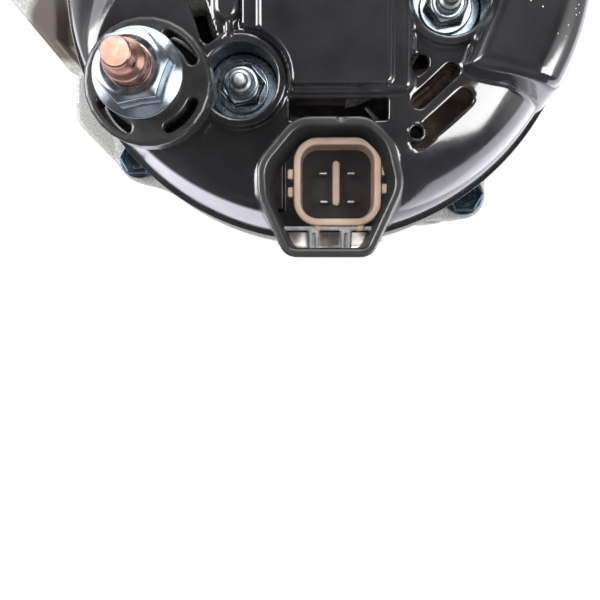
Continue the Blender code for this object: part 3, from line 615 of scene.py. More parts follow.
def make_materials():
    made = {}

    def finish(name, **constants):
        made[name] = Finish(name, **constants)
        return made[name]

    black = finish("cover_plastic", IOR=1.6, Specular_IOR_Level=0.5)
    black.colour((0.007, 0.007, 0.008), (0.014, 0.014, 0.015), 55).rough(0.08, 0.17, 170)
    black.bump(0.004, 260).bump(0.0006, 3600).sleeve_satin(SHROUD_CENTRE, 15.6, 16.4, 0.36)
    hump_corner = black.near((0.0485, LIP - 0.028, -0.0105), 0.003, 0.009)
    dust = black.math("MULTIPLY", black.spots(760, 0.16, 0.6), hump_corner)
    black.tint(black.math("MAXIMUM", dust, black.spots(900, 0.1, 0.3)), (0.52, 0.47, 0.38))
    guard = finish("guard_plastic")
    guard.colour((0.009, 0.009, 0.009), (0.015, 0.015, 0.015), 160).rough(0.24, 0.33, 400).bump(0.004, 1900)
    guard.tint(guard.spots(800, 0.1, 0.3), (0.3, 0.3, 0.3))
    inner = finish("inner_plastic")
    inner.colour((0.012, 0.009, 0.009), (0.03, 0.018, 0.016), 120).rough(0.3, 0.45, 300).bump(0.008, 1500)
    maroon = finish("maroon_plastic")
    maroon.colour((0.03, 0.018, 0.020), (0.05, 0.029, 0.032), 140).rough(0.3, 0.42, 300).bump(0.006, 1600)
    lacquer = finish("lacquer", Coat_Weight=0.6, Coat_Roughness=0.12)
    lacquer.colour((0.10, 0.072, 0.062), (0.28, 0.20, 0.15), 160).rough(0.16, 0.3, 260).bump(0.004, 900)
    lacquer.shader.inputs["Metallic"].default_value = 0.4
    tan = finish("socket_plastic", IOR=1.48)
    tan.colour((0.70, 0.48, 0.36), (0.80, 0.57, 0.45), 180).rough(0.36, 0.5, 500).bump(0.01, 1700)
    copper = finish("terminal_copper", Metallic=1.0)
    copper.colour((0.86, 0.43, 0.33), (0.98, 0.60, 0.50), 420).rough(0.2, 0.34, 600).bump(0.03, 500)
    zinc = finish("zinc_plate", Metallic=1.0)
    zinc.colour((0.52, 0.63, 0.75), (0.80, 0.87, 0.93), 260, 0.2).rough(0.13, 0.28, 500).bump(0.006, 900)
    silver = finish("stud_zinc", Metallic=1.0)
    silver.colour((0.72, 0.77, 0.82), (0.92, 0.94, 0.96), 400, 0.2).rough(0.36, 0.48, 600).bump(0.006, 900)
    washer = finish("washer_zinc", Metallic=1.0)
    washer.colour((0.46, 0.57, 0.68), (0.70, 0.79, 0.87), 300, 0.2).rough(0.2, 0.34, 500).bump(0.008, 1100)
    bolt = finish("bolt_zinc", Metallic=1.0)
    bolt.colour((0.10, 0.16, 0.22), (0.25, 0.35, 0.44), 240, 0.2).rough(0.16, 0.3, 500).bump(0.008, 900)
    tin = finish("pin_tin", Metallic=1.0)
    tin.colour((0.80, 0.74, 0.64), (0.95, 0.92, 0.85), 700).rough(0.4, 0.5, 900).bump(0.004, 2600)
    cast = finish("cast_aluminium", Metallic=0.55)
    cast.colour((0.38, 0.375, 0.36), (0.66, 0.65, 0.63), 2600, 0.14).rough(0.42, 0.62, 1500)
    cast.bump(0.035, 3000, 3.0).bump(0.05, 600, 2.0)
    cast.tint(cast.ramp(cast.noise(1500, 2.0), 0.60, 0.68, 0, 0.45), (0.36, 0.35, 0.33))
    # Painted shade: the recess between the pivot lug and the cover is darkened, where shade falls.
    pocket = cast.near((-0.066, LIP + 0.0240, -0.002), 0.0095, 0.0118)
    cast.tint(pocket, (0.15, 0.125, 0.11))
    faced = finish("faced_aluminium", Metallic=0.7)
    faced.colour((0.60, 0.56, 0.52), (0.84, 0.80, 0.76), 500).rough(0.3, 0.42, 500).bump(0.02, 1400, 2.0)
    # Painted reflection: the bar and ribs are the cover's black plastic, painted light grey to stand for the
    # white surroundings they mirror.
    web = finish("web_painted_reflection", IOR=1.6)
    web.colour((0.46, 0.47, 0.48), (0.62, 0.63, 0.64), 500).rough(0.2, 0.32, 500).bump(0.004, 1900)
    sink = finish("sink_aluminium", Metallic=0.8)
    sink.colour((0.30, 0.24, 0.19), (0.52, 0.45, 0.38), 130).rough(0.3, 0.45, 400).bump(0.02, 900)
    for name, dark, light, low, high in (
        ("bush_steel", (0.42, 0.41, 0.38), (0.60, 0.58, 0.54), 0.3, 0.45),
        ("bearing_steel", (0.55, 0.55, 0.56), (0.68, 0.68, 0.69), 0.12, 0.22),
        ("shaft_steel", (0.46, 0.46, 0.47), (0.62, 0.62, 0.63), 0.18, 0.3),
        ("pulley_steel", (0.34, 0.345, 0.35), (0.52, 0.525, 0.53), 0.22, 0.36),
        ("spring_steel", (0.30, 0.30, 0.31), (0.50, 0.50, 0.51), 0.25, 0.35),
        ("ring_copper", (0.66, 0.33, 0.20), (0.80, 0.46, 0.31), 0.15, 0.28),
    ):
        turned_lines = (0.03, 1, 0.03)
        steel = finish(name, Metallic=1.0)
        steel.colour(dark, light, 1500, 0.2, turned_lines).rough(low, high, 2200, turned_lines)
        steel.bump(0.006, 2600, 2.0, turned_lines)
    sheets = finish("lamination", Metallic=0.7)
    sheets.colour((0.10, 0.095, 0.09), (0.24, 0.235, 0.23), 1700, 0.2, (0.02, 1, 0.02))
    sheets.rough(0.35, 0.55, 400).bump(0.06, 1700, 1.0, (0.02, 1, 0.02))
    wire = finish("copper_winding", Metallic=0.55, Coat_Weight=0.7, Coat_Roughness=0.1)
    wire.colour((0.34, 0.10, 0.03), (0.60, 0.23, 0.07), 210).rough(0.25, 0.4, 400).bump(0.01, 1200)
    rotor = finish("rotor_steel", Metallic=0.75)
    rotor.colour((0.13, 0.125, 0.12), (0.27, 0.26, 0.25), 240).rough(0.35, 0.52, 400).bump(0.03, 900)
    carbon = finish("carbon", Metallic=0.1)
    carbon.colour((0.02, 0.02, 0.022), (0.05, 0.05, 0.052), 600).rough(0.5, 0.65, 700).bump(0.01, 2500)
    return {name: each.material for name, each in made.items()}


MATERIALS = make_materials()


# Rear cover


def smooth(share):
    share = np.clip(share, 0, 1)
    return share * share * (3 - 2 * share)


def cover_edge(x, z):
    """Radius of the cover's edge: crisp at the lower left, and a broad shoulder elsewhere."""
    away = np.abs((np.degrees(np.arctan2(z, x)) + 128 + 180) % 360 - 180)
    return 2.6 + 14.4 * smooth((away - 26) / 26)


def cover_body(x, y, z):
    edge = cover_edge(x, z)
    flare = DRAFT * (y - COVER_FACE)
    across = (np.hypot(x, z) - (COVER_TOP + flare)) * math.cos(math.atan(DRAFT)) + edge
    back = COVER_FACE + edge - y
    outside = np.hypot(np.maximum(across, 0), np.maximum(back, 0))
    return outside + np.minimum(np.maximum(across, back), 0) - edge


def hump(x, y, z):
    """The raised part at the right, with drafted walls and a broad outer edge."""
    outline = [(31.4, -23.1), (64, -32.0), (64, 30.4), (31.6, 21.7), (37, 4), (37, -8)]
    flare = (0.08 + 0.2 * smooth((41 - x) / 8)) * (y - HUMP_FACE)
    side = np.hypot(x, z) - COVER_TOP - 2.4 - 0.09 * (y - HUMP_FACE)
    crown = crossed(side, HUMP_FACE - y, 7.0)
    return crossed((polygon(outline, x, z) - flare) * 0.96, crown, 2.2)


def pill(start, end, width, steps=12):
    """A slot of this width between two points, round at both ends."""
    heading = math.degrees(math.atan2(end[1] - start[1], end[0] - start[0]))
    outline = arc(end, width / 2, heading - 90, heading + 90, steps)
    return outline + arc(start, width / 2, heading + 90, heading + 270, steps)


def cooling_slots():
    """The slots of the cover, as (start, end, width)."""
    slots = [((27.6, -23.8), (20.9, -30.0), 3.4), ((30.5, -29.3), (21.0, -37.9), 3.9)]
    slots.append(((-23.7, -16.1), (-28.5, -2.0), 3.5))
    for degrees in (62, 76, 118, 132, 146, 160):
        slots.append((polar(33, degrees), polar(46, degrees), 3.6))
    return slots


def rear_cover():
    """The moulded cover: a filled form is raised and shelled out, and then its cups and openings are cut."""
    field = Field((-61, -34.2, -64.2), (61, 1, 61), grid_step(0.42))
    field.add(cover_body, (-60, COVER_FACE, -60), (60, 1, 60), 0)
    field.prism(rectangle((8, -28.4), (19.4, 19.5), 1.8), -25.2, -14, 1.8, 1.2)
    field.prism(rectangle((-16.6, -17.4), (-6, 18.5), 1.2), -24.6, -14, 0.8, 0.8)
    field.prism(rectangle((-12.8, -27.1), (15.0, 18.0), 1.6), BLOCK_FACE, -14, 0.7, 0.6)
    field.prism(rectangle((-12.8, -28.6), (15.0, -20.0), 1.4), -23.8, -14, 0.6, 0.6)
    field.rod(COVER_FIXINGS[0], 10.9, -40, COVER_FACE - 0.2, 0.1, 0.7, cut=True)
    field.prism(pill((-19.7, -11.1), (-19.7, 6), 5.0), -25.4, -14, 1.2, 0.9)
    field.prism(rectangle((-19.9, -17.6), (-18.7, -9.0), 0.4), -24.4, -14, 0.4, 0.4)
    field.add(hump, (28, HUMP_FACE, -32), (59, -2, 32), 0.9)
    shell = field.grid.copy()
    field.grid = np.maximum(shell, -(shell + WALL))
    field.cut(lambda x, y, z: -y + 0 * (x + z), (-61, 0, -61), (61, 2, 61), 0.3)
    cup = [(8.4, -23.6), (9.5, -23.6), (9.5, -10.4), (3.4, -10.4), (3.4, -12.2), (7.9, -12.2)]
    for at in COVER_FIXINGS:
        field.rod(at, 8.8, -32, -14, cut=True)
        field.turned(cup, at, blend=0.9, soften=0.4)
    field.rod(CABLE_TERMINAL, 11.0, -25.2, -12, 0.6, 1.0)
    shroud(field)
    field.rod(CABLE_TERMINAL, 6.0, -27, -9, 0.4, 0.4, cut=True)
    field.prism(rectangle((-6.6, -34.0), (14.3, -29.4), 0.4), -26, -16, 0.3, 0.35, cut=True)
    for start, end, width in cooling_slots():
        field.prism(pill(start, end, width), -32, -8, 0.3, 0.3, cut=True)
    field.prism(hull(circle((20.9, -22.2), 2.0, 32) + [(20.5, -24.9)]), -26, -12, 0.3, 0.3, cut=True)
    peg = (20.4, -36.6)
    field.rod(peg, 2.0, COVER_FACE, -17, 0.2, 0.2)
    field.rod(peg, 1.4, COVER_FACE - 3, -17.6, 0.1, 0.2, cut=True)
    for x in (-4.1, -0.8, 4.2, 8.0):
        field.box((x - 0.55, -22.2, -34.4), (x + 0.55, -20.8, -33.3), 0.25, 0.3)
    rim = [(57.4, -1.8), (59.5, -1.8), (59.5, -0.1), (57.4, -0.1)]
    lip = turned("cover_lip", rim, steps=480, edge=0.12)
    with edited(lip) as shape:
        mouth = [point for point in shape.verts if -8.2 < point.co.x / MM < 12.0 and point.co.z / MM < -50]
        bmesh.ops.delete(shape, geom=mouth, context="VERTS")
        fill_rims(shape)
    moulding = merged("cover_moulding", [field.mesh("cover_wall"), lip])
    dress(moulding, "cover_plastic", "housing", "rear_cover", "connector_shroud")


def shroud(field):
    """The sleeve round the wiring socket, open right through the cover."""
    wall = 1.8
    corners = [(-5.2, -34.7, 7), (-12.9, -44.0, 7), (-12.5, -50.8, 8), (-7.2, -62.9, 3.6)]
    corners += [(10.6, -62.9, 3.6), (17.1, -48.6, 8), (14.9, -39.4, 9), (10.0, -34.7, 6)]
    outside = rounded(corners)
    field.prism(outside, SHROUD_RIM, -0.5, 0.4, 1.6)
    field.prism(inset(outside, wall), SHROUD_RIM - 2, 3, 0.3, 0.5, cut=True)
    key_nick = (4.2, -34.85)
    field.rod(key_nick, 0.8, SHROUD_RIM - 1, SHROUD_RIM + 0.5, 0.2, 0.3, cut=True)


def shroud_web():
    """The bar and the two ribs that cross the foot of the sleeve."""
    field = Field((-10.5, -16, -63), (15.5, -8, -55), grid_step(0.22))
    field.box((-9.8, -12.0, -57.2), (14.6, -9, -56.2), 0.4, 0)
    for left in (-2.7, 4.6):
        field.box((left, -12.5, -62.2), (left + 2.5, -9, -56.4), 0.9, 0.5)
        field.box((left + 0.9, -16, -61.2), (left + 1.6, -11.2, -57.8), 0.3, 0.4, cut=True)
    # Its light grey is a painted reflection of the white surroundings on black plastic.
    dress(field.mesh("shroud_web"), "web_painted_reflection", "housing", "connector_shroud")


# Battery terminal and fixings


def battery_terminal():
    """The slotted guard ring, with the collar, nut and stud that stand in it."""
    x, z = CABLE_TERMINAL
    field = Field((x - 13.6, -33.6, z - 13.6), (x + 13.6, -24.8, z + 13.6), grid_step(0.25))
    field.prism(circle(CABLE_TERMINAL, 12.95, 26), -33, -25.5, 0.9)
    for degrees in (45, 135, 225, 315):
        outline = curved_slot(10.1, 1.05, degrees - 20, degrees + 20)
        field.prism([(x + a, z + b) for a, b in outline], -34.5, -24, 0.2, 0.5, cut=True)
    field.rod(CABLE_TERMINAL, 5.0, -35, -24, 0.2, 0.4, cut=True)
    dress(field.mesh("guard_ring"), "guard_plastic", "housing", "battery_guard")
    collar = [(4.3, -41), (7.5, -41), (7.5, -33.3), (4.3, -33.3)]
    dress(turned("terminal_collar", collar, CABLE_TERMINAL), "bush_steel", "housing", "battery_collar")
    size = {"flange": 8.7, "across_flats": 12.6, "height": 8, "bore": 4.02}
    nut = flange_nut("terminal_nut", CABLE_TERMINAL, seat=-41.3, step=0.15, **size)
    dress(nut, "zinc_plate", "housing", "battery_nut")
    outline = [(3.97, -9), (3.97, -41), (3.97, -53.4), (3.88, -53.9), (3.1, -55.0), (2.85, -55.5)]
    outline += [(2.8, -56), (2.8, -59.4), (2.72, -59.65), (2.45, -60), (0, -60)]
    stud = threaded("terminal_stud", outline, CABLE_TERMINAL, (-48.6, -30), pitch=1.25, depth=0.24)
    dress(stud, "terminal_copper", "housing", "battery_stud")


def flange_nut(name, at, seat, flange, across_flats, height, bore, step, dish=2.2):
    """A hexagon nut on a dished flange, standing rearwards from its seat."""
    top = seat - height
    x, z = at
    low = (x - flange - 1, top - 1, z - flange - 1)
    field = Field(low, (x + flange + 1, seat + 1, z + flange + 1), grid_step(step))
    edge = 0.25
    dished = [(0, seat - edge), (flange - edge, seat - edge), (flange - edge, seat - 0.7)]
    dished += [(across_flats / 2, seat - dish), (0, seat - dish)]
    field.turned(dished, at, 0, soften=edge)
    slope = 0.62
    crown = across_flats * 0.44

    def hexagon(x, y, z):
        outline = arc(at, across_flats / math.sqrt(3), 10, 370, 6)[:-1]
        body = crossed(polygon(outline, x, z), np.maximum(top - y, y - seat), 0.2)
        cone = (np.hypot(x - at[0], z - at[1]) - crown - (y - top) / slope) * slope
        return crossed(body, cone * 0.85, 0.2)

    reach = across_flats * 0.6
    field.add(hexagon, (x - reach, top, z - reach), (x + reach, seat - 0.4, z + reach), 0.5)
    field.rod(at, bore, top - 2, seat + 2, 0.2, 0.1, cut=True)
    return field.mesh(name)


def threaded(name, outline, at, span, pitch, depth, steps=72):
    """A stud of this (radius, distance along the shaft) outline, with a thread between two distances."""
    ends = sorted((outline[0][1], outline[-1][1]))
    fine = pitch / 9
    rows = np.concatenate([np.arange(ends[1], span[0], -fine), np.linspace(span[0], ends[0], 70)])
    known = sorted((y, r) for r, y in outline)
    radius = np.interp(rows, [y for y, _ in known], [r for _, r in known])
    turns = 2 * math.pi * np.arange(steps) / steps
    phase = rows[:, None] / pitch - turns[None, :] / (2 * math.pi)
    ridge = np.abs((phase % 1) * 2 - 1)
    ridge = ridge * ridge * (3 - 2 * ridge)
    full = smooth((rows - span[0]) / pitch) * smooth((span[1] - rows) / pitch)
    reach = radius[:, None] - depth * 2 * (1 - ridge) * full[:, None]
    x, z = at[0] + reach * np.cos(turns), at[1] + reach * np.sin(turns)
    y = np.repeat(rows[:, None] + LIP / MM, steps, 1)
    points = np.stack([x, y, z], axis=2).reshape(-1, 3)
    obj = to_mesh(name, points * MM, ring_quads(len(rows), steps))
    with edited(obj) as shape:
        bmesh.ops.remove_doubles(shape, verts=shape.verts, dist=1e-7)
        fill_rims(shape)
        bmesh.ops.recalc_face_normals(shape, faces=shape.faces)
    shade_smooth(obj).data.set_sharp_from_angle(angle=math.radians(35))
    return obj


def cover_fixings():
    """Three alike sets of stud, washer and nut."""
    x, z = COVER_FIXINGS[0]
    size = {"flange": 5.8, "across_flats": 8, "height": 5.2, "bore": 2.55, "dish": 0.7}
    nut = flange_nut("cover_nut_a", COVER_FIXINGS[0], seat=-14.2, step=0.14, **size)
    outline = [(2.5, -2), (2.5, -21.9), (2.35, -22.3), (1.75, -22.7), (1.7, -23.6), (1.5, -24.3)]
    outline += [(1.1, -24.8), (0.6, -24.97), (0, -25)]
    stud = threaded("cover_stud_a", outline, COVER_FIXINGS[0], (-21.8, -12), pitch=0.8, depth=0.2, steps=48)
    rim = [(3.0, -12.9), (7.5, -12.9), (7.5, -13.9), (7.3, -14.1), (3.0, -14.1)]
    washer = turned("cover_washer_a", rim, COVER_FIXINGS[0], edge=0.15)
    for number, (there_x, there_z) in enumerate(COVER_FIXINGS, 1):
        for piece, slot, what in (
            (nut, "zinc_plate", "nut"), (stud, "stud_zinc", "stud"), (washer, "washer_zinc", "washer"),
        ):
            copy = duplicate(piece, f"fixing_{what}_{number}", (there_x - x, 0, there_z - z))
            dress(copy, slot, "housing", f"cover_{what}_{number}")
    for piece in (nut, stud, washer):
        bpy.data.objects.remove(piece)


# Wiring socket


def connector():
    """The tan wiring socket on its floor, with four flat pins."""
    x, z = SOCKET_CENTRE
    half = 9.8
    field = Field((x - 13, -14.2, z - 13), (x + 13, 0.8, z + 12), grid_step(0.22))
    field.prism(round_square(SOCKET_CENTRE, half, 5.4), -13.5, 0, 0.45)
    lugs = [((x - half - 1.4, z + 0.6), 3.0, 2.2), ((x - half - 1.4, z - 3.4), 3.0, 2.2)]
    lugs += [((x + half - 1.6, z + 1.4), 3.0, 2.2), ((x + half - 1.6, z - 2.6), 3.0, 2.2)]
    lugs += [((x - 5.2, z - half - 1.1), 1.6, 3.0), ((x + 4.4, z - half - 1.1), 1.6, 3.0)]
    for (left, low), wide, tall in lugs:
        field.box((left, -12.7, low), (left + wide, -1, low + tall), 0.3, 0.35)
    inner = half - 1.6
    field.prism(round_square(SOCKET_CENTRE, inner, 3.8), -16, -2.5, 0.5, 0.45, cut=True)
    field.prism(pill((x - 0.2, z - 4.3), (x - 0.2, z + 4.3), 1.7), -8, -1.5, 0.35, 0.3)
    body = field.mesh("socket_moulding")
    body.visible_glossy = body.visible_diffuse = False
    dress(body, "socket_plastic", "housing", "connector_housing")
    floor = Field((x - 16, -3.4, z - 12.5), (x + 13, 0.6, z + 12), grid_step(0.25))
    floor.prism(rectangle((x - 15, z - 11.2), (x + 11.8, z + 11.2), 1.0), -2.2, 0, 0.3)
    floor.prism(round_square(SOCKET_CENTRE, inner + 0.2, 3.9), -2.7, 0, 0.1, 0.1)
    floor.box((x - 15.2, -3.1, z - 6), (x - 12.4, 0, z + 8), 0.3, 0.3)
    dress(floor.mesh("socket_floor"), "maroon_plastic", "housing", "connector_housing")
    pin = Field((-1.3, -10, -0.7), (1.3, 1.6, 0.7), 0.09)
    pin.box((-0.85, -9.5, -0.28), (0.85, 1.2, 0.28), 0.2)
    made = pin.mesh("pin")
    for number, (across, up) in enumerate(((-3.2, 2.1), (3.2, 2.1), (-3.0, -4.3), (3.2, -4.3)), 1):
        copy = duplicate(made, f"socket_pin_{number}", (x + across, 0, z + up))
        dress(copy, "pin_tin", "housing", f"connector_pin_{number}")
    bpy.data.objects.remove(made)


# Brackets


def lug(field, outline_points, centre, radius, rear, front, bore, facing):
    """A mounting lug faired into the side wall, with a raised boss round its bore."""
    field.prism(hull(circle(centre, radius, 48) + outline_points), rear, front, 1.0, 3.0)
    field.rod(centre, radius - 1.2, rear - facing, front + facing, 0.4, 0.8)
    field.rod(centre, bore, rear - 6, front + 6, 0.2, 0.6, cut=True)


def lugs(field, rear, front, bore, facing):
    """The pivot lug at the left and the belt adjusting lug at the right."""
    lug(field, [(-66.2, -14.6), (-50, -24), (-44, 36)], HINGE_LUG, 12, rear, front, bore, 0)
    lug(field, [(55, -8), (40, 40)], ADJUST_LUG, 10.5, rear + 2, front, 4.3, facing)


def bolt_ears(field, rear, front):
    """Flat-sided ears round the through bolts."""
    for angle in BOLT_ANGLES:
        foot = [polar(58.5, angle - 14), polar(58.5, angle + 8), polar(52, angle)]
        reach = 5.4 if angle == BOLT_ANGLES[0] else 5.9
        field.prism(hull(circle(polar(BOLT_CIRCLE, angle), reach, 40) + foot), rear, front, 0.7, 1.4)


def vents(field, rear, front):
    """Openings in the side wall, wherever no bolt or lug is in the way."""
    blocked = [*BOLT_ANGLES, 158, 176, 194, -6, 12]
    for degrees in range(-180, 180, 20):
        if min(abs((degrees - angle + 180) % 360 - 180) for angle in blocked) >= 13:
            field.box((50, rear, -4.5), (66, front, 4.5), 1.5, 0.7, cut=True, degrees=degrees)


def rear_bracket():
    """The casting at the cover end, with the seats of the cover's studs."""
    field = Field((-94.5, -11, -69), (84, 41.5, 69), grid_step(0.62))
    field.turned([(0, 2.5), (54, 2.5), (54, 15.5), (60, 15.5), (60, 39.5), (0, 39.5)], soften=0.5)
    bolt_ears(field, 15, 40)
    corner = [(-55, -8), (-62.4, -18.4), (-62.5, -28.2), (-61.2, -30.3), (-48.8, -43.1), (-46.8, -44.3)]
    corner += [(-41.1, -45.9), (-34.7, -47.9), (-38, -40), (-46, -20)]
    field.prism(hull(corner), 15, 25, 0.6, 1.2)
    lugs(field, rear=22, front=36, bore=8.0, facing=0)
    pocket = [(-69.2, 24, 1), (-69.2, -6.6, 1.5), (-61.6, -15.4, 1), (-57, -15, 1), (-57, 24, 1)]
    field.prism(rounded(pocket), 14, 32.5, 1.5, 0.6, cut=True)
    hollow = [(0, -4), (12, -4), (12, 7.7), (17.8, 7.7), (17.8, 20), (22, 20), (22, 6.5), (49, 6.5)]
    hollow += [(51.5, 9), (51.5, 16.5), (55, 19), (55, 35.7), (56.8, 35.7), (56.8, 44), (0, 44)]
    field.turned(hollow, blend=0.8, cut=True)
    for at in COVER_FIXINGS:
        field.rod(at, 5.5, -9.7, 5, 0.5, 1.6)
        field.rod(at, 2.8, -12, -1.7, 0.2, 0.3, cut=True)
    for start, end in ((-170, -150), (-85, -50), (-40, -28), (5, 35), (55, 85), (125, 155)):
        field.prism(sector(28, 48, start, end), 0, 9, 0.4, 0.9, cut=True)
    vents(field, 19, 33)
    for angle in BOLT_ANGLES:
        field.rod(polar(BOLT_CIRCLE, angle), 2.8, 12, 44, 0.2, 0.4, cut=True)
    dress(field.mesh("rear_casting"), "cast_aluminium", "housing", "rear_bracket")


def bracket_pad():
    """The faced pad of the rear bracket under the wiring sleeve, with three hollows in its edge."""
    pad = Field((-11.5, 1.5, -62.5), (16, 17, -52), grid_step(0.3))
    pad.box((-10.6, 2.3, -61.7), (15.1, 15.8, -53), 0.5, 0)
    for middle in (-6.6, 2.2, 10.9):
        def scallop(x, y, z, middle=middle):
            return np.hypot(x - middle, y + 0.4) - 4.2 + 0 * z

        pad.cut(scallop, (middle - 4.2, -4.6, -63), (middle + 4.2, 3.8, -50), 0.5)

    def beyond(x, y, z):
        return 61.4 - np.hypot(x, z) + 0 * y

    pad.cut(beyond, (-12, 1, -64), (17, 17, -50), 0.4)
    dress(pad.mesh("bracket_pad"), "faced_aluminium", "housing", "rear_bracket")


def hinge_bush():
    """The steel bush that slides in the rear pivot lug."""
    bush = [(5.2, 20), (7.7, 20), (7.7, 37), (5.2, 37)]
    dress(turned("hinge_bush", bush, HINGE_LUG, edge=0.5), "bush_steel", "housing", "lug_bush")


def front_bracket():
    """The casting at the pulley end, with spokes between its air openings."""
    field = Field((-94.5, 68.5, -69), (84, 113.5, 69), grid_step(0.62))
    outside = [(0, 111.5), (30, 111.5), (31.6, 109.5), (50, 107.5), (57.6, 101.6), (60, 96)]
    field.turned([*outside, (60, 70.5), (0, 70.5)], soften=0.5)
    bolt_ears(field, 70, 100)
    lugs(field, rear=86, front=100, bore=5.2, facing=0)
    hollow = [(0, 66), (56.8, 66), (56.8, 74.3), (55, 74.3), (55, 96), (50, 103), (31, 104.5), (31, 94.9)]
    hollow += [(23.8, 94.9), (23.8, 110.3), (14, 110.3), (14, 116), (0, 116)]
    field.turned(hollow, blend=0.8, cut=True)
    for number in range(8):
        start = 45 * number + 6
        field.prism(sector(34, 52, start, start + 33), 99, 116, 0.4, 1.2, cut=True)
    vents(field, 78, 92)
    for angle in BOLT_ANGLES:
        field.rod(polar(BOLT_CIRCLE, angle), 2.8, 66, 97, 0.2, 0.3, cut=True)
    for angle in RETAINER_ANGLES:
        field.rod(polar(RETAINER_CIRCLE, angle), 2.0, 92, 103, 0.2, 0.3, cut=True)
    dress(field.mesh("front_casting"), "cast_aluminium", "housing", "front_bracket")


def through_bolts():
    """The four long bolts that hold the brackets together."""
    at = polar(BOLT_CIRCLE, BOLT_ANGLES[0])
    x, z = at
    field = Field((x - 6, 8.4, z - 6), (x + 6, 15.6, z + 6), grid_step(0.16))
    field.turned([(0, 12.9), (4.7, 12.9), (4.7, 14.4), (0, 14.4)], at, 0, soften=0.3)
    field.prism(circle(at, 4.6, 6), 9.2, 13.5, 0.5, 0.4)
    field.rod(at, 2.5, 7, 10.2, 0.4, 0.5, cut=True)
    head = field.mesh("bolt_head")
    outline = [(0, 95), (2.1, 95), (2.5, 94.4), (2.5, 14.2)]
    shank = threaded("bolt_shank", outline, at, (80, 94.5), pitch=1.0, depth=0.2, steps=32)
    bolt = merged("bolt", [head, shank])
    for number, angle in enumerate(BOLT_ANGLES, 1):
        there = polar(BOLT_CIRCLE, angle)
        piece = shade_smooth(duplicate(bolt, f"bolt_{number}", (there[0] - x, 0, there[1] - z)))
        dress(piece, "bolt_zinc", "housing", f"through_bolt_{number}")
    bpy.data.objects.remove(bolt)


# Stator


def tube(points, radius, sides=8):
    """The skin of a round wire along a run of points, as (points, quads)."""
    points = np.array(points, float)
    ahead = np.gradient(points, axis=0)
    ahead /= np.linalg.norm(ahead, axis=1)[:, None]
    side = np.cross(ahead, [0.0, 1.0, 0.001])
    side /= np.linalg.norm(side, axis=1)[:, None]
    up = np.cross(ahead, side)
    turns = 2 * math.pi * np.arange(sides) / sides
    ring = side[:, None, :] * np.cos(turns)[None, :, None] + up[:, None, :] * np.sin(turns)[None, :, None]
    skin = (points[:, None, :] + radius * ring).reshape(-1, 3)
    return skin, ring_quads(len(points), sides)


def wires(name, runs, radius, sides=8):
    """One mesh of many wires."""
    skins, quads, count = [], [], 0
    for run in runs:
        skin, faces = tube(run, radius, sides)
        skins.append(skin)
        quads.append(faces + count)
        count += len(skin)
    points = np.concatenate(skins)
    points[:, 1] += LIP / MM
    return to_mesh(name, points * MM, np.concatenate(quads))


def winding():
    """Four wires to each slot, which cross over in loops at both ends of the core."""
    slots, reach = 36, 3
    runs = []
    for end, core, heading in ((23.0, 36, -1), (87.0, 74, 1)):
        for i in range(slots):
            for layer, (inner, outer) in enumerate(((47.4, 51.2), (48.9, 52.7))):
                for strand in range(2):
                    start = 360 / slots * (i + 0.18 * (2 * strand - 1))
                    height = abs(end - core) * (0.96 - 0.12 * layer - 0.07 * strand)
                    run = []
                    for t in np.linspace(0, 1, 15):
                        rise = 1 - abs(2 * t - 1) ** 2.4
                        angle = start + 360 / slots * reach * (t * t * (3 - 2 * t))
                        radius = inner + (outer - inner) * t
                        x, z = polar(radius, angle)
                        run.append((x, core + heading * (height * rise - 1.5), z))
                    runs.append(run)
    dress(wires("winding_loops", runs, 0.72), "copper_winding", "housing", "stator_winding")


def stator_core():
    """The stack of sheets, with a slot every 10 degrees and grooves down its outside."""
    core = [(45.6, 36.1), (56.5, 36.1), (56.5, 73.9), (45.6, 73.9)]
    field = Field((-57.5, 35.2, -57.5), (57.5, 74.8, 57.5), grid_step(0.62))
    field.turned(core, blend=0)
    for i in range(36):
        slot = sector(44, 52.4, 10 * i - 2.7, 10 * i + 2.7, 3)
        field.prism(slot, 30, 80, 0.2, 0.3, cut=True)
    for i in range(6):
        field.rod(polar(57.2, 60 * i + 12), 1.5, 34, 76, 0.2, 0.5, cut=True)
    dress(field.mesh("core_stack"), "lamination", "housing", "stator_core")


# Rotor


def claw_pole(name, disc, inside, tip, first, node):
    """A disc with six fingers, left where tapering gaps are cut from a cup."""
    low, high = sorted((disc, tip))
    field = Field((-46, low - 1, -46), (46, high + 1, 46), grid_step(0.6))
    centre = 55.0 - math.copysign(0.15, 55.0 - disc)
    profile = [(9.3, disc), (45, disc), (45, tip), (42, tip), (36, inside), (20, inside)]
    field.turned([*profile, (20, centre), (9.3, centre)], blend=0)
    heading = math.copysign(1, tip - disc)
    for i in range(6):
        angle = math.radians(first + 60 * (i + 0.5))

        def gap(x, y, z, angle=angle):
            across = z * math.cos(angle) - x * math.sin(angle)
            out = x * math.cos(angle) + z * math.sin(angle)
            width = 9.0 + 8.5 * np.clip((y - disc) * heading / abs(tip - disc), -0.1, 1.1)
            return np.maximum((np.abs(across) - width) * 0.97, 27 - out)

        far = polar(52, math.degrees(angle))
        near = polar(27, math.degrees(angle))
        (x0, z0), (x1, z1) = np.minimum(near, far) - 19, np.maximum(near, far) + 19
        field.cut(gap, (x0, low - 1, z0), (x1, high + 1, z1), 0.9)
    dress(field.mesh(name), "rotor_steel", "rotor", node)


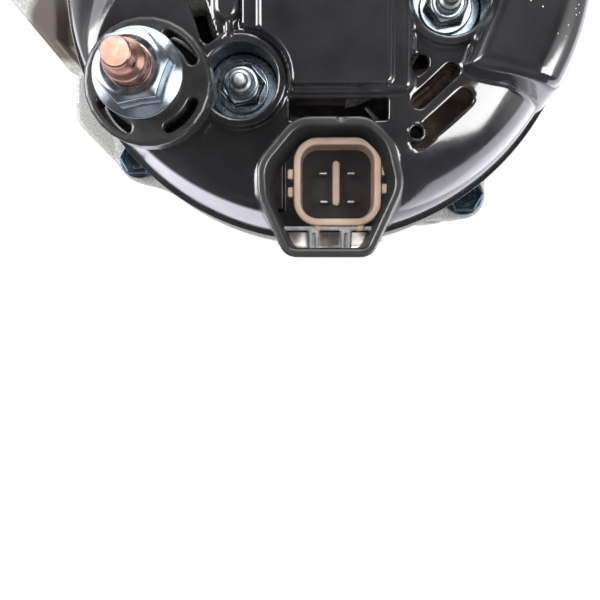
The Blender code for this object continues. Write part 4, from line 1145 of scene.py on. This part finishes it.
def fan(name, pole_face, heading, node, blades=9):
    """A sheet metal fan with curved blades bent up from its rim."""
    near, far = sorted((pole_face, pole_face + heading * 1.6))
    end = pole_face + heading * 12.0
    low, high = sorted((near, end))
    field = Field((-42, low - 1, -42), (42, max(far, high) + 1, 42), grid_step(0.5))
    field.turned([(9.4, near), (31, near), (31, far), (9.4, far)], blend=0)
    for i in range(blades):
        turn_by = 360 / blades * i
        centre = polar(44.0, turn_by + 62)
        reach = 30.0

        def blade(x, y, z, centre=centre, turn_by=turn_by):
            out = np.hypot(x, z)
            curve = np.abs(np.hypot(x - centre[0], z - centre[1]) - reach) - 0.6
            spoke = x * math.cos(math.radians(turn_by)) + z * math.sin(math.radians(turn_by))
            ring = np.maximum(np.maximum(out - 40.2, 26 - out), 20 - spoke)
            tall = np.maximum(low - y, y - high) + 0 * x
            return np.maximum(np.maximum(curve, ring), tall)

        field.add(blade, (-41, low, -41), (41, high, 41), 0.8)
        foot = polar(35, turn_by + 4)
        field.rod(foot, 6.5, near, far, 0.3, 0.6)
    dress(field.mesh(name), "rotor_steel", "rotor", node)


def coil_form():
    """The field coil, with its wire laid in rows."""
    rows = 14
    profile = [(20.6, 46.7), (20.6, 63.3)]
    for i in range(rows * 4, -1, -1):
        y = 47.0 + 16.0 * i / (rows * 4)
        profile.append((33.4 + 0.42 * abs(math.cos(math.pi * i / 4)), y))
    dress(turned("coil_winding", profile[::-1], edge=0), "copper_winding", "rotor", "field_coil")


def shaft():
    outline = [(0, -16), (4.5, -16), (5.0, -15.4), (5.0, 6), (7.2, 6), (7.2, 22), (9.0, 22), (9.0, 92)]
    body = turned("shaft_body", [*outline, (8.2, 92), (8.2, 137), (8.2, 140), (0, 140)], edge=0.4)
    outline = [(0, 150), (6.2, 150), (7.4, 150), (8.2, 149), (8.2, 145), (8.2, 137.5)]
    thread = threaded("shaft_end", outline, (0, 0), (138, 149.4), pitch=1.5, depth=0.32)
    obj = shade_smooth(merged("shaft_and_thread", [body, thread]))
    dress(obj, "shaft_steel", "rotor", "shaft")
    for number, along in enumerate(BRUSH_PLACES, 1):
        ring = [(5.3, along - 2.6), (7.3, along - 2.6), (7.3, along + 2.6), (5.3, along + 2.6)]
        dress(turned(f"slip_ring_fine_{number}", ring), "ring_copper", "rotor", f"slip_ring_{number}")


def bearing(prefix, bore, inner, outer, outside, rear, front, balls):
    """A grooved inner ring, a plain outer ring, and the balls in their cage."""
    middle, centre = (rear + front) / 2, (inner + outer) / 2
    angles = np.linspace(-1.4, 1.4, 9)
    groove = [(inner + 0.02 - 1.0 * math.cos(a), middle + 3.0 * math.sin(a)) for a in angles]
    profile = [(bore, front), (bore, rear), (inner, rear), *groove, (inner, front)]
    race = turned(f"{prefix}_race_inner", profile, edge=0.3)
    dress(race, "bearing_steel", "rotor", f"{prefix}_bearing_inner")
    profile = [(outside, rear), (outside, front), (outer, front), (outer, rear)]
    race = turned(f"{prefix}_race_outer", profile, edge=0.4)
    dress(race, "bearing_steel", "housing", f"{prefix}_bearing_outer")
    radius = (outer - inner) / 2 - 0.2
    reach = outer + 1
    field = Field((-reach, middle - 5, -reach), (reach, middle + 5, reach), grid_step(0.35))
    low, high = middle - 1.2, middle + 1.2
    cage = [(centre - 0.5, low), (centre + 0.5, low), (centre + 0.5, high), (centre - 0.5, high)]
    field.turned(cage, blend=0, soften=0.2)
    for number in range(balls):
        at = polar(centre, 360 / balls * number)

        def ball(x, y, z, at=at):
            return np.sqrt((x - at[0]) ** 2 + (y - middle) ** 2 + (z - at[1]) ** 2) - radius

        spot = np.array((at[0], middle, at[1]))
        field.add(ball, spot - radius, spot + radius, 0.3)
    made = field.mesh(f"{prefix}_balls_and_cage")
    dress(made, "bearing_steel", f"{prefix}_ball_set", f"{prefix}_bearing_balls")


def pulley():
    """A belt pulley with rounded V grooves, a hub and a dished front."""
    first = (117 + 143 - GROOVES * GROOVE_PITCH) / 2
    profile = [(8.5, 117), (29, 117), (29, first - 0.7), (28.2, first - 0.1)]
    for i in range(GROOVES):
        start = first + GROOVE_PITCH * i
        for radius, along in ((28, 0.35), (25.25, 1.6), (25, 1.78), (25.25, 1.96), (28, 3.21)):
            profile.append((radius, start + along))
    profile += [(28.2, first + GROOVES * GROOVE_PITCH + 0.1), (29, 141.4), (29, 143), (27.2, 143)]
    profile += [(26.4, 142.2), (22.0, 142.2), (20.8, 141), (19.5, 134), (14.5, 134), (14.5, 138), (8.5, 138)]
    dress(turned("pulley_fine", profile, steps=160, edge=0.35), "pulley_steel", "rotor", "pulley")
    spacer = [(8.5, 110.3), (12, 110.3), (12, 116.7), (8.5, 116.7)]
    dress(turned("spacer_fine", spacer, edge=0.5), "shaft_steel", "rotor", "pulley_spacer")
    field = Field((-15, 137.4, -15), (15, 147.4, 15), grid_step(0.25))

    def hexagon(x, y, z):
        sides = polygon(circle((0, 0), 24 / math.sqrt(3), 6), x, z)
        body = crossed(sides, np.maximum(138.3 - y, y - 146.5), 0.4)
        cone = (np.hypot(x, z) - 11.8 - (146.5 - y) / 0.55) * 0.5
        return crossed(body, cone, 0.4)

    field.add(hexagon, (-14, 138.3, -14), (14, 146.5, 14), 0)
    field.rod((0, 0), 8.5, 136, 149, 0.2, 0.6, cut=True)
    dress(field.mesh("pulley_nut_fine"), "zinc_plate", "rotor", "pulley_nut")


def bearing_retainer():
    rim = [(14.5, 92.6), (30.5, 92.6), (30.5, 94.6), (14.5, 94.6)]
    dress(turned("retainer_plate", rim, edge=0.4), "bush_steel", "housing", "bearing_retainer")
    head = [(0, 90.9), (1.0, 90.6), (2.8, 90.6), (3.4, 91.2), (3.4, 92.3), (1.7, 92.3), (1.7, 101), (0, 101)]
    for number, angle in enumerate(RETAINER_ANGLES, 1):
        screw = turned(f"retainer_screw_fine_{number}", head, polar(RETAINER_CIRCLE, angle), 48)
        dress(screw, "zinc_plate", "housing", f"retainer_screw_{number}")


# Electrics inside the cover


def regulator():
    """The regulator's body and its finned sink."""
    outline = rounded([(19.6, -20.5, 1.5), (39, -20.5, 2), (40, -33, 3), (33, -42, 3), (19.6, -43, 1.5)])
    field = Field((18, -12, -44.5), (42, -2.6, -19), grid_step(0.35))
    field.prism(outline, -9, -3.3, 0.6)
    for inner, outer, top in ((34.2, 35.2, -10.6), (37.4, 38.6, -11.2)):
        field.prism(sector(inner, outer, -62, -28), top, -6, 0.35, 1.2)
    dress(field.mesh("regulator_body"), "lacquer", "housing", "regulator")
    sink = Field((18, -3.6, -44.5), (42, 2.2, -19), grid_step(0.35))
    sink.prism(outline, -3, -0.5, 0.4)
    for number in range(5):
        x = 21.5 + 3.6 * number
        sink.box((x, -1, -40), (x + 1.2, 1.7, -22), 0.25, 0.5)
    dress(sink.mesh("regulator_sink"), "sink_aluminium", "housing", "regulator_heatsink")


def rectifier():
    """The two diode plates."""
    for name, rear, front, out, degrees in (
        ("rectifier_plate_negative", -0.8, 1.7, -3.6, (52, 84, 116, 148)),
        ("rectifier_plate_positive", -8.2, -5.4, -11.6, (68, 100, 132, 180)),
    ):
        field = Field((-53, out - 1, -46), (44, front + 1, 53), grid_step(0.5))
        field.prism(sector(38, 52, 35, 238, 60), rear, front, 0.4, 0.4)
        for angle in degrees:
            field.rod(polar(45, angle), 4.6, out, rear + 0.5, 0.6, 0.7)
        if name.endswith("positive"):
            field.rod(CABLE_TERMINAL, 4.3, -14, 0, 0.2, 0.3, cut=True)
        dress(field.mesh(f"{name}_fine"), "sink_aluminium", "housing", name)


def behind_window():
    """A contact strip and a copper tab that show through the cover's window."""
    field = Field((3, -17, -36), (17, -11, -27), grid_step(0.2))
    field.box((9.2, -15.6, -32.4), (13.6, -14.6, -31.4), 0.2, 0, degrees=-50, about=(11.4, -31.9))
    dress(field.mesh("window_strip"), "spring_steel", "housing")
    field = Field((3, -17, -36), (17, -11, -27), grid_step(0.2))
    field.box((9.4, -14.4, -34.9), (14.6, -13.2, -33.0), 0.3, 0)
    dress(field.mesh("window_tab"), "terminal_copper", "housing")


def brush_springs(low=-27.7, high=-19.9, turns=5, radius=1.5, wire=0.3, steps=20):
    """The coiled springs under the brushes."""
    angles = 2 * math.pi * turns * np.linspace(0, 1, turns * steps + 1)
    climb = np.linspace(low + wire, high - wire, len(angles))
    for number, along in enumerate(BRUSH_PLACES, 1):
        run = np.stack([radius * np.cos(angles), along + radius * np.sin(angles), climb], axis=1)
        name = f"brush_spring_{number}"
        spring = dress(wires(f"{name}_fine", [run], wire), "spring_steel", "housing", name)
        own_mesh(spring)


def carried_over():
    """The CAD nodes that are shown as they are, with a better finish."""
    for name, material in (
        ("brush_holder", "inner_plastic"), ("rectifier_terminals", "inner_plastic"),
        ("brush_1", "carbon"), ("brush_2", "carbon"),
    ):
        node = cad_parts[name]
        node.data.materials.clear()
        node.data.materials.append(MATERIALS[material])


# Stage


WHITE = (1.0, 1.0, 1.0)
WARM = (1.0, 0.99, 0.97)
COOL = (0.88, 0.95, 1.0)
LAVENDER = (0.89, 0.88, 0.97)
LAMP_DISTANCE = 0.55
FLOOR_GAP = 0.0004


def stage():
    bpy.context.scene.view_settings.view_transform = "Standard"
    paper_floor()
    surroundings()
    for name, place, size, power, colour in (
        ("key", (0.25, -0.85, 0.95), 0.7, 8, WHITE),
        ("fill", (-0.95, -0.55, 0.35), 0.6, 4, (0.94, 0.97, 1.0)),
        ("back", (0.3, 0.9, 0.8), 0.9, 12, (1.0, 0.99, 0.98)),
    ):
        lamp(name, place, (0, -0.1, 0), (size, size), power, colour)
    linked_lamps()
    camera()


def paper_floor():
    """A white sheet just under the object, which glows a little, so that it has no dark edge."""
    low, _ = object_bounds()
    bpy.ops.mesh.primitive_plane_add(size=12, location=(0, 0, low[2] - FLOOR_GAP))
    floor = bpy.context.object
    floor.name = "floor"
    paper = Finish("floor_paper", Base_Color=(0.9, 0.9, 0.9, 1), Roughness=0.9, Specular_IOR_Level=0.0)
    paper.shader.inputs["Emission Color"].default_value = (1, 1, 1, 1)
    paper.shader.inputs["Emission Strength"].default_value = 0.85
    floor.data.materials.append(paper.material)
    floor.visible_glossy = False
    floor.visible_shadow = False
    floor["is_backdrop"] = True


def group(name, *pieces):
    """A collection of pieces, to which a lamp can be held."""
    made = bpy.data.collections.new(name)
    for piece in pieces:
        made.objects.link(bpy.data.objects[piece])
    return made


def linked_lamps():
    """Lamps that light only some of the pieces, as flags and cards would in a studio."""
    pins = [f"socket_pin_{number}" for number in range(1, 5)]
    fixings = [f"fixing_{what}_{number}" for what in ("washer", "nut", "stud") for number in range(1, 4)]
    gloss = group("glossy_black", "cover_moulding", "guard_ring")
    matt = group("matt_pieces", "socket_moulding", "socket_floor", "bracket_pad", "shroud_web", *pins)
    plated = group("plated_fixings", *fixings)
    tip = group("copper_tip", "terminal_stud")
    body = (0.0, -0.16, -0.04)
    for name, heading, middle, size, radiance, colour, pieces in (
        ("panel_right", (0.75, -0.58, -0.31), (0.040, -0.172, -0.030), (0.36, 0.32), 15, WHITE, gloss),
        ("panel_left", (-0.78, -0.58, 0.16), (-0.042, -0.171, -0.006), (0.50, 0.3), 14, WHITE, gloss),
        ("panel_behind", (0.0, 0.95, -0.3), (0.0, -0.15, -0.03), (1.6, 0.9), 1.3, (0.87, 0.85, 0.96), gloss),
        ("side_right", (0.79, 0.50, -0.34), (0.048, -0.157, -0.034), (0.36, 0.9), 3.6, LAVENDER, gloss),
        ("front_right", (0.42, -0.90, 0.1), body, (0.22, 0.22), 8, WARM, matt),
        ("front_left", (-0.42, -0.90, 0.1), body, (0.22, 0.22), 8, WARM, matt),
        ("washers", (0.162, -0.949, 0.29), (0.0272, -0.164, -0.009), (0.2, 0.2), 3.0, COOL, plated),
        ("tip", (-0.14, -0.94, 0.30), (-0.0347, -0.209, -0.028), (0.16, 0.16), 3.2, (1.0, 0.95, 0.9), tip),
    ):
        place = Vector(middle) + LAMP_DISTANCE * Vector(heading).normalized()
        power = radiance * math.pi * size[0] * size[1]
        lamp(name, place, middle, size, power, colour).light_linking.receiver_collection = pieces


def camera():
    """The camera behind the rear cover, a little above the object's foot."""
    made = bpy.data.objects.new("camera", bpy.data.cameras.new("camera"))
    made.data.lens, made.data.sensor_width = 51.72, 36
    made.data.clip_start = 0.005
    made.location = (0.0, LIP - 0.207, -0.060)
    down, left = math.radians(3.78), math.radians(1.33)
    made.rotation_euler = (math.pi / 2 - down, 0, left)
    bpy.context.scene.collection.objects.link(made)
    bpy.context.scene.camera = made


def lamp(name, place, target, size, power, colour):
    """A soft rectangular lamp, turned to face its target."""
    light = bpy.data.lights.new(name, "AREA")
    light.shape = "RECTANGLE"
    (light.size, light.size_y), light.energy, light.color = size, power, colour
    obj = bpy.data.objects.new(name, light)
    obj.location = place
    obj.rotation_euler = (Vector(target) - Vector(place)).to_track_quat("-Z", "Y").to_euler()
    obj.visible_camera = False
    bpy.context.scene.collection.objects.link(obj)
    return obj


def surroundings():
    """A light tent: white behind the object, dark behind the camera, with bright panels round it."""
    world = bpy.data.worlds.new("tent")
    bpy.context.scene.world = world
    world.use_nodes = True
    nodes, links = world.node_tree.nodes, world.node_tree.links
    nodes.clear()

    def feed(node, *values):
        for socket, value in zip(node.inputs, values):
            if isinstance(value, bpy.types.NodeSocket):
                links.new(value, socket)
            else:
                socket.default_value = value
        return node.outputs[0]

    def plus(a, b):
        node = nodes.new("ShaderNodeMath")
        node.operation = "ADD"
        return feed(node, a, b)

    def ramp(value, low, high, start=0.0, end=1.0):
        node = nodes.new("ShaderNodeMapRange")
        node.interpolation_type = "SMOOTHSTEP"
        return feed(node, value, low, high, start, end)

    direction = nodes.new("ShaderNodeTexCoord").outputs["Generated"]

    def panel(towards, inner, outer, strength):
        """A round soft panel in this direction, full inside one angle and gone outside another."""
        dot = nodes.new("ShaderNodeVectorMath")
        dot.operation = "DOT_PRODUCT"
        feed(dot, direction, Vector(towards).normalized())
        edge = (math.cos(math.radians(outer)), math.cos(math.radians(inner)))
        return ramp(dot.outputs["Value"], *edge, 0.0, strength)

    split = nodes.new("ShaderNodeSeparateXYZ")
    feed(split, direction)
    along = split.outputs["Y"]
    level = ramp(along, 0.15, 0.75, 0.10, 0.85)
    level = plus(level, ramp(along, -0.25, -0.75, 0.0, -0.055))
    for entry in (
        ((0.98, 0.02, -0.1), 14, 26, 0.9),
        ((0.78, -0.55, -0.20), 16, 30, 2.0),
        ((-0.98, -0.05, 0.05), 18, 32, 0.9),
        ((-0.80, -0.58, 0.08), 18, 32, 2.0),
        ((-0.1, -0.1, 1.0), 26, 44, 1.2),
        ((0.05, -0.62, 0.78), 14, 28, 1.8),
        ((0.19, -0.93, 0.31), 4, 9, 0.3),
        ((0.0, -0.66, -0.75), 8, 28, 0.28),
    ):
        level = plus(level, panel(*entry))
    tinted = nodes.new("ShaderNodeMix")
    tinted.data_type = "RGBA"
    links.new(ramp(along, 0.5, 0.9), tinted.inputs[0])
    tinted.inputs[6].default_value = (*WHITE, 1)
    tinted.inputs[7].default_value = (0.86, 0.84, 0.95, 1)
    tent, white = nodes.new("ShaderNodeBackground"), nodes.new("ShaderNodeBackground")
    feed(tent, tinted.outputs[2], level)
    feed(white, (*WHITE, 1), 1.02)
    chosen = nodes.new("ShaderNodeMixShader")
    seen = nodes.new("ShaderNodeLightPath").outputs["Is Camera Ray"]
    feed(chosen, seen, tent.outputs[0], white.outputs[0])
    links.new(chosen.outputs[0], nodes.new("ShaderNodeOutputWorld").inputs[0])


def main():
    rear_cover()
    shroud_web()
    battery_terminal()
    cover_fixings()
    connector()
    rear_bracket()
    bracket_pad()
    hinge_bush()
    front_bracket()
    through_bolts()
    winding()
    stator_core()
    claw_pole("claws_rear", disc=36.5, inside=46, tip=72, first=0, node="claw_pole_rear")
    claw_pole("claws_front", disc=73.5, inside=64, tip=38, first=30, node="claw_pole_front")
    fan("fan_rear_fine", pole_face=36.2, heading=-1, node="fan_rear")
    fan("fan_front_fine", pole_face=73.8, heading=1, node="fan_front")
    coil_form()
    shaft()
    bearing("rear", bore=7.5, inner=10.4, outer=14.4, outside=17.5, rear=8, front=19, balls=8)
    bearing("front", bore=8.5, inner=12.6, outer=19.4, outside=23.5, rear=96, front=110, balls=7)
    pulley()
    bearing_retainer()
    regulator()
    rectifier()
    behind_window()
    brush_springs()
    carried_over()
    stage()


main()
